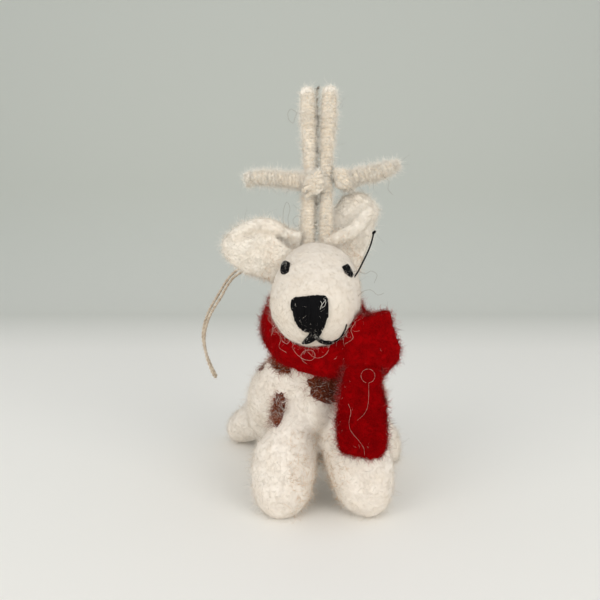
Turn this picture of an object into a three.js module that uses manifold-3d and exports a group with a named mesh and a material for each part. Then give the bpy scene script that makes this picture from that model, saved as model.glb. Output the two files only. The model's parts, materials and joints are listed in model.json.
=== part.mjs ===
import * as THREE from 'three';
import { mergeVertices } from 'three/addons/utils/BufferGeometryUtils.js';
import Module from 'manifold-3d';

const wasm = await Module();
wasm.setup();

// A felted wool reindeer that sits on its rump, with its front legs propped in front of it.
// Millimetres, +Z up, the face towards -Y, left and right as seen from in front of the face.

// Clearances
const seam = 0.3;
const overrun = 60;

// Ground
const soleFlat = 0.5;

// Torso, from the neck down to the rump
const torsoHeight = 49;
const torsoLength = 44;
const torsoForward = 3;
const torsoWidth = 42.6;
const torsoSideways = -0.6;
const torsoDepth = 29;

// Front legs
const legHeight = 45;
const leftLegStance = 11.4;
const rightLegStance = 13.4;
const legReach = 11;
const legShoulder = 1.5;
const legWidth = 17;
const legDepth = 15;

// Hind legs: each runs out from the hip to a foot that lies on the ground
const hipSpread = 11;
const hipBack = 27;
const hipHeight = 14;
const hindFootHeight = 5.6;
const leftFootSpread = 27;
const leftFootBack = 40;
const rightFootSpread = 24;
const rightFootBack = 22.5;
const hindWidth = 13;
const hindDepth = 12.5;

// Short tail at the rump
const rumpTailLength = 9;
const rumpTailWidth = 6;
const rumpTailHeight = 21;
const rumpTailRoot = 2;

// Head
const headRise = 6.6;
const headSideways = -1.2;
const headForward = 4;
const headTurn = THREE.MathUtils.degToRad(-6.4);
const headLength = 32;
const headDrop = 9;
const headWidth = 22.6;
const headDepth = 23;

// Ears: thick leaves, hollowed from the front and from one side, held by their root on the head
const leftEarLength = 20;
const leftEarWidth = 14.6;
const leftEarDepth = 6;
const leftEarRootInset = 4.1;
const leftEarRootRise = -1.1;
const leftEarRootBack = 4.6;
const rightEarLength = 20.4;
const rightEarWidth = 11.8;
const rightEarDepth = 5.8;
const rightEarRootInset = 5.5;
const rightEarRootRise = -2.3;
const rightEarRootBack = 10.3;
const earHollowDepth = 3.6;
const earHollowForward = 2.3;
const leftEarHollowWidth = 9.4;
const leftEarHollowRise = 5.2;
const rightEarHollowWidth = 9;

// Antler stems: wire wound with yarn, with a felted tip
const wireRadius = 0.34;
const yarnDiameter = 1.35;
const yarnGap = 0.5;
const stemYarnRadius = 1.4;
const stemTopYarnRadius = 1.75;
const stemHeight = 43;
const stemSpacing = 5.4;
const stemBackReach = 6;
const stemRootRise = 3;
const stemRootBack = 6.5;
const stemRootSideways = -0.6;
const wireRoot = 5;
const pocketDepth = 4;
const tipRadius = 2.4;
const tipWall = 1;

// Antler branches
const branchYarnDiameter = 1.25;
const branchYarnRadius = 1.25;
const leftBranchLength = 19;
const rightBranchLength = 16;
const branchWireRadius = 0.25;
const branchTipRadius = 1.8;
const branchTipWall = 0.7;
const branchHeightOnStem = 17.4;
const tieWidth = 5.8;
const tieDepth = 4.6;
const tieHeight = 5.6;
const tieWireDepth = 2.3;

// Face, stitched in thread on the head
const eyeLength = 4.6;
const eyeWidth = 3.2;
const eyeSideways = 0.4;
const eyeUp = 6.8;
const eyeRise = 0.7;
const noseWidth = 8.1;
const noseHeight = 8.4;
const noseSideways = -0.4;
const noseDown = 2.8;
const noseRise = 1.3;
const stitchEdge = 0.35;
const mouthThread = 1;
const mouthDown = 7.9;
const mouthWidth = 6.4;
const mouthDrop = 2.9;

// Brown wool patches on the torso
const patchRise = 0.7;
const chestPatchWidth = 9;
const chestPatchHeight = 9;
const flankPatchWidth = 5.6;
const flankPatchHeight = 11;
const collarPatchWidth = 6;
const collarPatchHeight = 6;
const shoulderPatchWidth = 7;
const shoulderPatchHeight = 6;

// Scarf of red felt: a band round the neck, a knot on its right and the end that hangs below the knot
const scarfThickness = 3.6;
const scarfBandHeight = 9.6;
const scarfWidth = 28;
const scarfDepth = 27;
const scarfDrop = 1.7;
const scarfForward = 1.2;
const scarfBackRise = 5.6;
const scarfLeftRise = 1.6;
const knotWidth = 13.4;
const knotHeight = 15;
const knotDepth = 7.5;
const knotInset = 2.4;
const knotForward = 1;
const knotDrop = 2.1;
const scarfEndWidth = 12;
const scarfEndLength = 20.5;
const scarfEndThickness = 2.8;
const scarfEndInset = 2.2;
const scarfEndForward = 2.9;
const scarfEndDrop = 7.6;
const scarfEndBackReach = 1.6;
const swingGap = 0.5;

// Hanging loop of twine
const twineDiameter = 0.9;

const vec = (x, y, z) => new THREE.Vector3(x, y, z);
const across = vec(1, 0, 0);
const backward = vec(0, 1, 0);
const upward = vec(0, 0, 1);

// Solids

function asSolid(geometry) {
  const bare = geometry.clone();
  bare.deleteAttribute('normal');
  bare.deleteAttribute('uv');
  const merged = mergeVertices(bare);
  return new wasm.Manifold(new wasm.Mesh({
    numProp: 3,
    vertProperties: new Float32Array(merged.attributes.position.array),
    triVerts: new Uint32Array(merged.index.array),
  }));
}

function asGeometry(solid) {
  const mesh = solid.getMesh();
  const geometry = new THREE.BufferGeometry();
  geometry.setAttribute('position', new THREE.BufferAttribute(mesh.vertProperties, mesh.numProp));
  geometry.setIndex(new THREE.BufferAttribute(mesh.triVerts, 1));
  geometry.computeVertexNormals();
  return geometry;
}

// Cuts each tool out of a form and keeps the largest piece that is left.
function cut(geometry, ...tools) {
  let solid = asSolid(geometry);
  for (const tool of tools) solid = solid.subtract(asSolid(tool));
  const pieces = solid.decompose().sort((a, b) => b.volume() - a.volume());
  return asGeometry(pieces[0]);
}

function join(first, ...others) {
  let solid = asSolid(first);
  for (const other of others) solid = solid.add(asSolid(other));
  return asGeometry(solid);
}

// Moves every point outwards by the same distance.
function grown(geometry, distance = seam) {
  const bare = geometry.clone();
  bare.deleteAttribute('normal');
  bare.deleteAttribute('uv');
  const merged = mergeVertices(bare);
  merged.computeVertexNormals();
  const { position, normal } = merged.attributes;
  for (let i = 0; i < position.count; i++) {
    position.setXYZ(
      i,
      position.getX(i) + normal.getX(i) * distance,
      position.getY(i) + normal.getY(i) * distance,
      position.getZ(i) + normal.getZ(i) * distance,
    );
  }
  return merged;
}

// Closes a stack of equal rings of points into a solid with its faces turned outwards. A ring of one
// point is a pole.
function stack(rings, closed = false) {
  const sides = Math.max(...rings.map((ring) => ring.length));
  const points = [];
  const starts = rings.map((ring) => {
    const start = points.length;
    points.push(...ring);
    return start;
  });
  const index = [];
  const at = (row, column) => starts[row] + (rings[row].length === 1 ? 0 : column % sides);
  const last = closed ? rings.length : rings.length - 1;
  for (let row = 0; row < last; row++) {
    const next = (row + 1) % rings.length;
    for (let column = 0; column < sides; column++) {
      const corners = [at(row, column), at(row, column + 1), at(next, column + 1), at(next, column)];
      if (corners[0] !== corners[1]) index.push(corners[0], corners[1], corners[2]);
      if (corners[2] !== corners[3]) index.push(corners[0], corners[2], corners[3]);
    }
  }
  let volume = 0;
  for (let i = 0; i < index.length; i += 3) {
    const [a, b, c] = [0, 1, 2].map((corner) => points[index[i + corner]]);
    volume += a.dot(b.clone().cross(c));
  }
  if (volume < 0) index.reverse();
  const geometry = new THREE.BufferGeometry().setFromPoints(points);
  geometry.setIndex(index);
  return geometry;
}

// A felted form: oval rings along a spine, each with a width and a depth, drawn in to round ends.
function felted({ places, sizes, side = across, blunt = 0.55, rings, sides, square = 1 }) {
  const spine = new THREE.CatmullRomCurve3(places);
  const girth = new THREE.CatmullRomCurve3(sizes.map(([width, depth]) => vec(width, depth, 0)));
  const squared = (value) => Math.sign(value) * Math.abs(value) ** square;
  const stations = Array.from({ length: rings + 1 }, (_, k) => {
    const turn = (Math.PI * k) / rings;
    const share = (1 - Math.cos(turn)) / 2;
    const place = spine.getPoint(share);
    if (k === 0 || k === rings) return [place];
    const run = spine.getTangent(share);
    const wideWay = side.clone().addScaledVector(run, -side.dot(run)).normalize();
    const deepWay = wideWay.clone().cross(run);
    const round = Math.sin(turn) ** blunt;
    const size = girth.getPoint(share).multiplyScalar(round / 2);
    return Array.from({ length: sides }, (_, j) => {
      const angle = (2 * Math.PI * j) / sides;
      const wide = squared(Math.cos(angle));
      const deep = squared(Math.sin(angle));
      return place.clone()
        .addScaledVector(wideWay, size.x * wide)
        .addScaledVector(deepWay, size.y * deep);
    });
  });
  return stack(stations);
}

// Places given as shares of a reach, counted from a root.
function reachFrom(root, reach, shares) {
  return shares.map((share) => vec(...share).multiply(reach).add(root));
}

function sized(width, depth, shares) {
  return shares.map(([wide, deep]) => [width * wide, depth * deep]);
}

const groundBlock = new THREE.BoxGeometry(2 * overrun, 2 * overrun, overrun)
  .translate(0, 0, -overrun / 2);

// Lets a form down until it presses into the ground, and cuts it flat there.
function seated(geometry) {
  geometry.computeBoundingBox();
  return geometry.translate(0, 0, -soleFlat - geometry.boundingBox.min.z);
}

// Rings of points turned about a curved axis, from a profile of [distance along it, radius].
function turnedAlong(axis, profile, sides) {
  const length = axis.getLength();
  const rings = profile.map(([along, radius]) => {
    const place = axis.getPointAt(Math.min(along / length, 1));
    const run = axis.getTangentAt(Math.min(along / length, 1));
    if (radius === 0) return [place];
    const one = vec(0, 1, 0).addScaledVector(run, -run.y).normalize();
    const two = run.clone().cross(one);
    return Array.from({ length: sides }, (_, j) => {
      const angle = (2 * Math.PI * j) / sides;
      return place.clone()
        .addScaledVector(one, radius * Math.cos(angle))
        .addScaledVector(two, radius * Math.sin(angle));
    });
  });
  return stack(rings);
}

// Yarn

const curlSteps = 8;
const curlSides = 5;
const yarnBendShare = 0.85;
const yarnLeaveShares = { along: 0.3, round: 0.7 };
const yarnLead = (diameter) => diameter * (1 + yarnBendShare);

// The centre line of yarn wound round an axis, between two distances along it. Each end leaves the
// winding in a small bend and runs straight, along the axis, for one diameter.
function yarnPath(axis, { from, to, pitch, diameter, radiusAt }) {
  const length = axis.getLength();
  const bend = yarnBendShare * diameter;
  const start = from + yarnLead(diameter);
  const wound = to - yarnLead(diameter) - start;
  const turns = Math.floor(wound / pitch);
  const steps = turns * curlSteps;
  const frameAt = (along, angle) => {
    const share = THREE.MathUtils.clamp(along / length, 0, 1);
    const place = axis.getPointAt(share);
    const run = axis.getTangentAt(share);
    const one = vec(0, 1, 0).addScaledVector(run, -run.y).normalize();
    const two = run.clone().cross(one);
    const out = one.multiplyScalar(Math.cos(angle)).addScaledVector(two, Math.sin(angle));
    const radius = radiusAt(along);
    return { point: place.addScaledVector(out, radius), out, run, radius };
  };
  const path = [];
  const leave = (along, angle, way) => {
    const { point, out, run, radius } = frameAt(along, angle + (way * bend) / radiusAt(along));
    const straight = [diameter + bend, bend].map((drop) => ({
      point: point.clone().addScaledVector(run, way * drop),
      out,
    }));
    const middle = frameAt(
      along + way * bend * yarnLeaveShares.along,
      angle + (way * bend * yarnLeaveShares.round) / radius,
    );
    return way < 0 ? [...straight, middle] : [middle, ...straight.reverse()];
  };
  path.push(...leave(start, 0, -1));
  for (let i = 0; i <= steps; i++) {
    path.push(frameAt(start + (i / steps) * wound, (2 * Math.PI * i) / curlSteps));
  }
  path.push(...leave(start + wound, 2 * Math.PI * turns, 1));
  return { path, turns };
}

// A round tube of yarn along such a centre line.
function yarnTube({ path }, diameter) {
  const rings = path.map(({ point, out }, i) => {
    const before = path[Math.max(i - 1, 0)].point;
    const after = path[Math.min(i + 1, path.length - 1)].point;
    const run = after.clone().sub(before).normalize();
    const one = out.clone().addScaledVector(run, -out.dot(run)).normalize();
    const two = run.clone().cross(one);
    return Array.from({ length: curlSides }, (_, j) => {
      const angle = (2 * Math.PI * j) / curlSides;
      return point.clone()
        .addScaledVector(one, (diameter / 2) * Math.cos(angle))
        .addScaledVector(two, (diameter / 2) * Math.sin(angle));
    });
  });
  return stack([[path[0].point], ...rings, [path[path.length - 1].point]]);
}

// The least gap of a winding to itself, measured between points half a turn or more apart.
function leastGap({ path }, diameter) {
  let least = Infinity;
  for (let i = 0; i < path.length; i++) {
    for (let j = i + curlSteps / 2; j < path.length; j++) {
      least = Math.min(least, path[i].point.distanceTo(path[j].point) - diameter);
    }
  }
  return least;
}

// Pads and threads that lie on a felted form

function surfaceOf(geometry) {
  const bare = mergeVertices(geometry.clone());
  bare.computeVertexNormals();
  return new THREE.Mesh(bare, new THREE.MeshBasicMaterial({ side: THREE.DoubleSide }));
}

// Directions for a pad that is looked at from the front, or from a turn away from it.
const turned = (angle) => ({
  look: backward.clone().applyAxisAngle(upward, angle),
  right: across.clone().applyAxisAngle(upward, angle),
  up: upward,
});

// The point and the normal that are met from outside, looking along a direction.
function meet(surface, point, look) {
  const ray = new THREE.Raycaster(point.clone().addScaledVector(look, -overrun), look);
  const [hit] = ray.intersectObject(surface);
  return { place: hit.point, normal: hit.normal ?? hit.face.normal };
}

// A pad on a surface: an outline round a centre, with an upright edge and a domed top.
function pad(surface, { centre, look, right, up, outline, edge, rise, rings = 3, sides = 20 }) {
  const spot = (share, angle) => {
    const [wide, high] = outline(angle);
    const point = centre.clone()
      .addScaledVector(right, wide * share)
      .addScaledVector(up, high * share);
    return meet(surface, point, look);
  };
  const lifted = ({ place, normal }, height) => place.clone().addScaledVector(normal, height);
  const ring = (share, height) => Array.from({ length: sides }, (_, j) => {
    return lifted(spot(share, (2 * Math.PI * j) / sides), height);
  });
  const shares = Array.from({ length: rings }, (_, k) => (k + 1) / rings);
  const top = (share) => seam + edge + rise * Math.sqrt(1 - share * share);
  return stack([
    [lifted(spot(0, 0), seam)],
    ...shares.map((share) => ring(share, seam)),
    ...shares.toReversed().map((share) => ring(share, top(share))),
    [lifted(spot(0, 0), top(0))],
  ]);
}

const oval = (width, height) => (angle) => {
  return [(width / 2) * Math.cos(angle), (height / 2) * Math.sin(angle)];
};

// Materials

const wool = new THREE.MeshStandardMaterial({ color: 0xe9dfd0, roughness: 0.95, metalness: 0 });
const brownWool = new THREE.MeshStandardMaterial({ color: 0x5c382c, roughness: 0.95, metalness: 0 });
const yarn = new THREE.MeshStandardMaterial({ color: 0xe4dacb, roughness: 0.9, metalness: 0 });
const wire = new THREE.MeshStandardMaterial({ color: 0x8c8678, roughness: 0.4, metalness: 0.8 });
const thread = new THREE.MeshStandardMaterial({ color: 0x17181a, roughness: 0.6, metalness: 0 });
const redFelt = new THREE.MeshStandardMaterial({ color: 0x93060d, roughness: 0.95, metalness: 0 });
const twine = new THREE.MeshStandardMaterial({ color: 0xc2b195, roughness: 0.9, metalness: 0 });

const ornament = new THREE.Group();

function place(name, geometry, material, parent = ornament) {
  const mesh = new THREE.Mesh(geometry, material);
  mesh.name = name;
  parent.add(mesh);
  return mesh;
}

// Torso

const torsoPlaceShares = [
  [0, 0.02, 1],
  [0, 0.06, 0.86],
  [0, 0.2, 0.66],
  [0, 0.44, 0.45],
  [0, 0.72, 0.3],
  [0, 1, 0.24],
];
const torsoSizeShares = [[0.34, 0.4], [0.6, 0.62], [0.9, 0.86], [1, 1], [1.03, 1], [0.86, 0.86]];
const torsoForm = seated(felted({
  places: reachFrom(
    vec(torsoSideways, -torsoForward, 0),
    vec(0, torsoLength, torsoHeight),
    torsoPlaceShares,
  ),
  sizes: sized(torsoWidth, torsoDepth, torsoSizeShares),
  rings: 18,
  sides: 22,
}));
const torso = cut(torsoForm, groundBlock);

// Head, in a frame of its own that turns with it

const headPlaceShares = [
  [0, 0.5, 0.3],
  [0, 0.34, 0.36],
  [0, 0.06, 0.3],
  [0, -0.2, -0.12],
  [0, -0.4, -0.5],
  [0, -0.5, -0.66],
];
const headSizeShares = [[0.8, 0.84], [0.9, 0.94], [0.98, 1.02], [1, 0.96], [0.86, 0.8], [0.7, 0.66]];
const headForm = felted({
  places: reachFrom(vec(0, 0, 0), vec(0, headLength, headDrop), headPlaceShares),
  sizes: sized(headWidth, headDepth, headSizeShares),
  rings: 18,
  sides: 26,
});
const headFrame = new THREE.Group();
headFrame.position.set(headSideways, -headForward, torsoHeight + headRise);
headFrame.rotation.z = headTurn;
headFrame.updateMatrix();
const intoHead = headFrame.matrix.clone().invert();
const outOfHead = headFrame.matrix;

// Antlers, rooted in one pocket in the crown

const pocketFloor = headDepth / 2 + stemRootRise - pocketDepth;
const stemShares = [[0, 0, 0], [-0.04, 0.3, 0.3], [-0.06, 0.7, 0.6], [0.1, 1, 1]];

function stem(side) {
  const root = vec(stemRootSideways + (side * stemSpacing) / 2, stemRootBack, pocketFloor);
  const reach = vec(side * stemSpacing, stemBackReach, stemHeight + pocketDepth);
  const footShares = [0, -0.08, -wireRoot / reach.z];
  return new THREE.CatmullRomCurve3(reachFrom(root, reach, [footShares, ...stemShares]));
}

const turnedSides = 8;
const domeShares = [[0.4, 1], [0.7, 0.84], [0.9, 0.52]];

// A felted tip: flat where the winding ends, round on top, and closed over the end of the yarn.
function feltedTip({ axis, radius, height, wall, wireRadius, tube }) {
  const length = axis.getLength();
  const base = length - height;
  const dome = domeShares.map(([along, wide]) => [base + height * along, radius * wide]);
  const form = turnedAlong(axis, [[base, 0], [base, radius], ...dome, [length, 0]], turnedSides);
  const hole = axisBar(axis, base - seam, length - wall, wireRadius + seam);
  return cut(form, grown(tube), hole);
}

// A wire or a hole along an axis, between two distances from its start.
const barSteps = 6;

function axisBar(axis, from, to, radius) {
  const shaft = Array.from({ length: barSteps + 1 }, (_, k) => {
    return [THREE.MathUtils.lerp(from, to, k / barSteps), radius];
  });
  return turnedAlong(axis, [[from, 0], ...shaft, [to, 0]], turnedSides);
}

const capHeight = (wall, diameter) => wall + yarnLead(diameter) - diameter / 2;

const stems = { left: stem(-1), right: stem(1) };
const stemSwellShares = [0.72, 0.86];
const stemYarns = {};
for (const [name, axis] of Object.entries(stems)) {
  const length = axis.getLength();
  const [swellStart, swellEnd] = stemSwellShares.map((share) => share * length);
  const radiusAt = (along) => THREE.MathUtils.lerp(
    stemYarnRadius,
    stemTopYarnRadius,
    THREE.MathUtils.smoothstep(along, swellStart, swellEnd),
  );
  stemYarns[name] = yarnPath(axis, {
    from: wireRoot + seam,
    to: length - tipWall - seam,
    pitch: yarnDiameter + yarnGap,
    diameter: yarnDiameter,
    radiusAt,
  });
}

const stemOuter = stemYarnRadius + yarnDiameter / 2;

// The room that the even part of a wound stem takes, with a clearance round it.
const roomShares = [0.1, 0.24, 0.38, 0.52, 0.66];
const roomSides = 12;

function stemRoom(axis) {
  const wall = roomShares.map((share) => [axis.getLength() * share, stemOuter + seam]);
  const [low, high] = [wall[0][0], wall[wall.length - 1][0]];
  return turnedAlong(axis, [[low, 0], ...wall, [high, 0]], roomSides);
}

// Branches: the left one crosses in front of its stem, the right one grows from the side of its own

const stemAtBranch = (axis) => {
  const share = (wireRoot + pocketDepth + branchHeightOnStem) / axis.getLength();
  return axis.getPointAt(share);
};
const branchOuter = branchYarnRadius + branchYarnDiameter / 2;
const leftTieShares = [0.26, -0.36];
const rightTieShares = [0.42, -0.02];
const branches = {
  left: {
    knob: stemAtBranch(stems.left).add(vec(
      tieWidth * leftTieShares[0],
      -(stemOuter + branchOuter + seam),
      tieHeight * leftTieShares[1],
    )),
    length: leftBranchLength,
    reachShares: [[0, 0, 0], [-0.35, 0.01, 0.07], [-0.7, 0, 0.11], [-1, 0.01, 0.12]],
    taper: 1,
  },
  right: {
    knob: stemAtBranch(stems.right).add(vec(
      stemOuter + tieWidth * rightTieShares[0],
      0,
      tieHeight * rightTieShares[1],
    )),
    length: rightBranchLength,
    reachShares: [[0, 0, 0], [0.35, -0.02, 0.06], [0.7, -0.02, 0.14], [0.96, 0, 0.25]],
    taper: 0.84,
  },
};
for (const branch of Object.values(branches)) {
  const reach = vec(branch.length, branch.length, branch.length);
  branch.axis = new THREE.CatmullRomCurve3(reachFrom(branch.knob, reach, branch.reachShares));
  const length = branch.axis.getLength();
  branch.yarn = yarnPath(branch.axis, {
    from: tieWidth / 2 + branchYarnDiameter / 2 - yarnLead(branchYarnDiameter),
    to: length - branchTipWall - seam,
    pitch: branchYarnDiameter + yarnGap,
    diameter: branchYarnDiameter,
    radiusAt: (along) => branchYarnRadius * THREE.MathUtils.lerp(1, branch.taper, along / length),
  });
  branch.tube = yarnTube(branch.yarn, branchYarnDiameter);
}

function tie({ knob, axis, tube }) {
  const ball = new THREE.SphereGeometry(1 / 2, 14, 10)
    .scale(tieWidth, tieDepth, tieHeight)
    .translate(...knob);
  const [holeStart, holeEnd] = [tieWidth / 2 - tieWireDepth - seam, tieWidth / 2 + seam];
  const hole = axisBar(axis, holeStart, holeEnd, branchWireRadius + seam);
  return cut(ball, hole, grown(tube), stemRoom(stems.left), stemRoom(stems.right));
}

// Pocket in the crown for both stems, with a deeper hole for each wire

const pocketOutline = new THREE.Shape();
const pocketRadius = stemOuter + seam;
pocketOutline.absarc(stemSpacing / 2, 0, pocketRadius, -Math.PI / 2, Math.PI / 2);
pocketOutline.absarc(-stemSpacing / 2, 0, pocketRadius, Math.PI / 2, (3 * Math.PI) / 2);
const pocket = new THREE.ExtrudeGeometry(pocketOutline, {
  depth: overrun,
  bevelEnabled: false,
  curveSegments: 6,
}).translate(stemRootSideways, stemRootBack, pocketFloor);
const wireHoles = Object.values(stems).map((axis) => {
  return axisBar(axis, 0, wireRoot + seam, wireRadius + seam);
});
const torsoInHead = grown(torsoForm).applyMatrix4(intoHead);
const head = cut(headForm, torsoInHead, pocket, ...wireHoles);
place('head', head, wool, headFrame);
place('torso', torso, wool);

// Each antler part: its wire, the yarn wound on it and the felted tip
function wound(name, { axis, start, tube, wireRadius, tipRadius, wall, diameter }) {
  const height = capHeight(wall, diameter);
  const end = axis.getLength() - wall - seam;
  place(`${name}_wire`, axisBar(axis, start, end, wireRadius), wire, headFrame);
  place(`${name}_yarn`, tube, yarn, headFrame);
  const tip = feltedTip({ axis, radius: tipRadius, height, wall, wireRadius, tube });
  place(`${name}_tip`, tip, wool, headFrame);
}

for (const [name, axis] of Object.entries(stems)) {
  wound(`antler_${name}`, {
    axis,
    start: seam,
    tube: yarnTube(stemYarns[name], yarnDiameter),
    wireRadius,
    tipRadius,
    wall: tipWall,
    diameter: yarnDiameter,
  });
  const branch = branches[name];
  wound(`branch_${name}`, {
    axis: branch.axis,
    start: tieWidth / 2 - tieWireDepth,
    tube: branch.tube,
    wireRadius: branchWireRadius,
    tipRadius: branchTipRadius * branch.taper,
    wall: branchTipWall,
    diameter: branchYarnDiameter,
  });
  place(`branch_${name}_tie`, tie(branch), wool, headFrame);
}

// Ears

const earOutset = headWidth / 2;
const earRise = headDepth / 2;
const leftEarRoot = vec(leftEarRootInset - earOutset, leftEarRootBack, earRise + leftEarRootRise);
const leftEarReach = vec(leftEarLength, leftEarLength, leftEarLength);
const leftEar = felted({
  places: reachFrom(
    leftEarRoot,
    leftEarReach,
    [[0, 0, 0], [-0.3, -0.02, 0.08], [-0.65, -0.04, 0.13], [-1, -0.06, 0.16]],
  ),
  sizes: sized(leftEarWidth, leftEarDepth, [[0.84, 1], [1, 1], [1.02, 0.94], [0.8, 0.8]]),
  side: upward,
  rings: 12,
  sides: 18,
});
const leftHollow = felted({
  places: reachFrom(
    leftEarRoot.clone().add(vec(0, -earHollowForward, leftEarHollowRise)),
    leftEarReach,
    [[-0.06, 0, 0.03], [-0.3, -0.02, 0.09], [-0.6, -0.04, 0.12], [-0.86, -0.06, 0.1]],
  ),
  sizes: sized(leftEarHollowWidth, earHollowDepth, [[0.8, 1], [1, 1], [0.9, 1], [0.6, 0.9]]),
  side: upward,
  rings: 10,
  sides: 14,
});
const rightEarRoot = vec(earOutset - rightEarRootInset, rightEarRootBack, earRise + rightEarRootRise);
const rightEarReach = vec(rightEarLength, rightEarLength, rightEarLength);
const rightEarLean = vec(0.92, 0, -0.4).normalize();
const rightEar = felted({
  places: reachFrom(
    rightEarRoot,
    rightEarReach,
    [[0, 0, 0], [0.05, 0.04, 0.28], [0.13, 0.08, 0.56], [0.22, 0.1, 0.8], [0.33, 0.12, 1]],
  ),
  sizes: sized(
    rightEarWidth,
    rightEarDepth,
    [[0.72, 0.9], [0.96, 1], [1.04, 0.96], [0.96, 0.84], [0.76, 0.7]],
  ),
  side: rightEarLean,
  rings: 12,
  sides: 18,
});
const rightHollow = felted({
  places: reachFrom(
    rightEarRoot.clone().add(vec(0, -earHollowForward, 0)),
    rightEarReach,
    [[-0.2, 0.06, 0.34], [-0.08, 0.08, 0.54], [0.06, 0.1, 0.76], [0.22, 0.12, 0.96]],
  ),
  sizes: sized(rightEarHollowWidth, earHollowDepth, [[0.7, 1], [1, 1], [1, 0.94], [0.7, 0.8]]),
  side: rightEarLean,
  rings: 10,
  sides: 14,
});
const headRoom = grown(headForm);
place('ear_left', cut(leftEar, leftHollow, headRoom), wool, headFrame);
place('ear_right', cut(rightEar, rightHollow, headRoom, stemRoom(stems.right)), wool, headFrame);

// Face

const headSurface = surfaceOf(headForm);
const eyePinchShare = 0.55;
const eyes = {
  left: { turn: THREE.MathUtils.degToRad(-35), lean: THREE.MathUtils.degToRad(-9) },
  right: { turn: THREE.MathUtils.degToRad(36), lean: THREE.MathUtils.degToRad(16) },
};
for (const [name, { turn, lean }] of Object.entries(eyes)) {
  const [cos, sin] = [Math.cos(lean), Math.sin(lean)];
  const drop = (angle) => {
    const pinch = 1 - eyePinchShare * Math.max(0, -Math.sin(angle)) ** 2;
    const wide = (eyeWidth / 2) * pinch * Math.cos(angle);
    const high = (eyeLength / 2) * Math.sin(angle);
    return [wide * cos - high * sin, wide * sin + high * cos];
  };
  place(`eye_${name}`, pad(headSurface, {
    ...turned(turn),
    centre: vec(eyeSideways, 0, eyeUp),
    outline: drop,
    edge: stitchEdge,
    rise: eyeRise,
    rings: 2,
    sides: 14,
  }), thread, headFrame);
}

// The nose is a shield: square at the top, drawn in to a round point below.
const noseRoundShares = [0.55, 0.7];
const noseTaperShare = 0.34;
const squared = (value, roundShare) => Math.sign(value) * Math.abs(value) ** roundShare;
const nose = pad(headSurface, {
  ...turned(0),
  centre: vec(noseSideways, 0, -noseDown),
  outline: (angle) => {
    const high = squared(Math.sin(angle), noseRoundShares[1]);
    const draw = 1 + noseTaperShare * Math.min(high, 0);
    const wide = draw * squared(Math.cos(angle), noseRoundShares[0]);
    return [(noseWidth / 2) * wide, (noseHeight / 2) * high];
  },
  edge: stitchEdge,
  rise: noseRise,
  rings: 4,
  sides: 24,
});
place('nose', nose, thread, headFrame);

// The mouth is three threads that meet under the nose and lie on the muzzle.
const mouthShares = {
  stem: [[0, 0.2], [0, 0], [0, -0.1]],
  left: [[0, -0.1], [-0.22, -0.4], [-0.5, -0.86], [-0.72, -1]],
  right: [[0, -0.1], [0.26, -0.5], [0.62, -0.86], [1, -0.7], [1.3, 0.1], [1.42, 0.9]],
};
const mouthLook = vec(0, 2, 1).normalize();
const mouthAimShare = 0.42;
const mouthLiftShare = 0.6;
const mouthSection = new THREE.Shape().absarc(0, 0, mouthThread / 2, 0, 2 * Math.PI);
const mouthThreads = Object.values(mouthShares).map((shares) => {
  const points = shares.map(([wide, high]) => {
    const aim = vec(
      noseSideways + (wide * mouthWidth) / 2,
      -headLength * mouthAimShare,
      high * mouthDrop - mouthDown,
    );
    const { place: spot, normal } = meet(headSurface, aim, mouthLook);
    return spot.addScaledVector(normal, seam + mouthThread * mouthLiftShare);
  });
  return new THREE.ExtrudeGeometry(mouthSection, {
    steps: 2 * points.length,
    curveSegments: 3,
    extrudePath: new THREE.CatmullRomCurve3(points),
  });
});
const mouth = cut(join(...mouthThreads), grown(nose));
place('mouth', mouth, thread, headFrame);

// Front legs

const legReachShares = [0, 0.16, 0.46, 0.72, 0.96, 1];
const legRiseShares = [1, 0.78, 0.53, 0.35, 0.14, 0];
const legDeepShares = [0.5, 0.7, 0.8, 0.98, 1.02, 0.9];
const frontLegs = {
  left: {
    stance: -leftLegStance,
    outShares: [0.46, 0.4, 0.4, 0.77, 0.91, 1],
    wideShares: [0.44, 0.52, 0.54, 0.97, 1.03, 0.86],
  },
  right: {
    stance: rightLegStance,
    outShares: [0.2, 0.24, 0.28, 0.65, 0.85, 1],
    wideShares: [0.5, 0.66, 0.72, 1.04, 0.98, 0.84],
  },
};
const torsoRoom = grown(torsoForm);
const legs = {};
for (const [name, { stance, outShares, wideShares }] of Object.entries(frontLegs)) {
  const placeShares = outShares.map((out, k) => [out, legReachShares[k], legRiseShares[k]]);
  const sizeShares = wideShares.map((wide, k) => [wide, legDeepShares[k]]);
  legs[name] = seated(felted({
    places: reachFrom(vec(0, legShoulder, 0), vec(stance, -legReach, legHeight), placeShares),
    sizes: sized(legWidth, legDepth, sizeShares),
    rings: 14,
    sides: 18,
  }));
}
place('front_leg_left', cut(legs.left, torsoRoom, groundBlock), wool);
place('front_leg_right', cut(legs.right, torsoRoom, groundBlock, grown(legs.left)), wool);

// Hind legs

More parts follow.
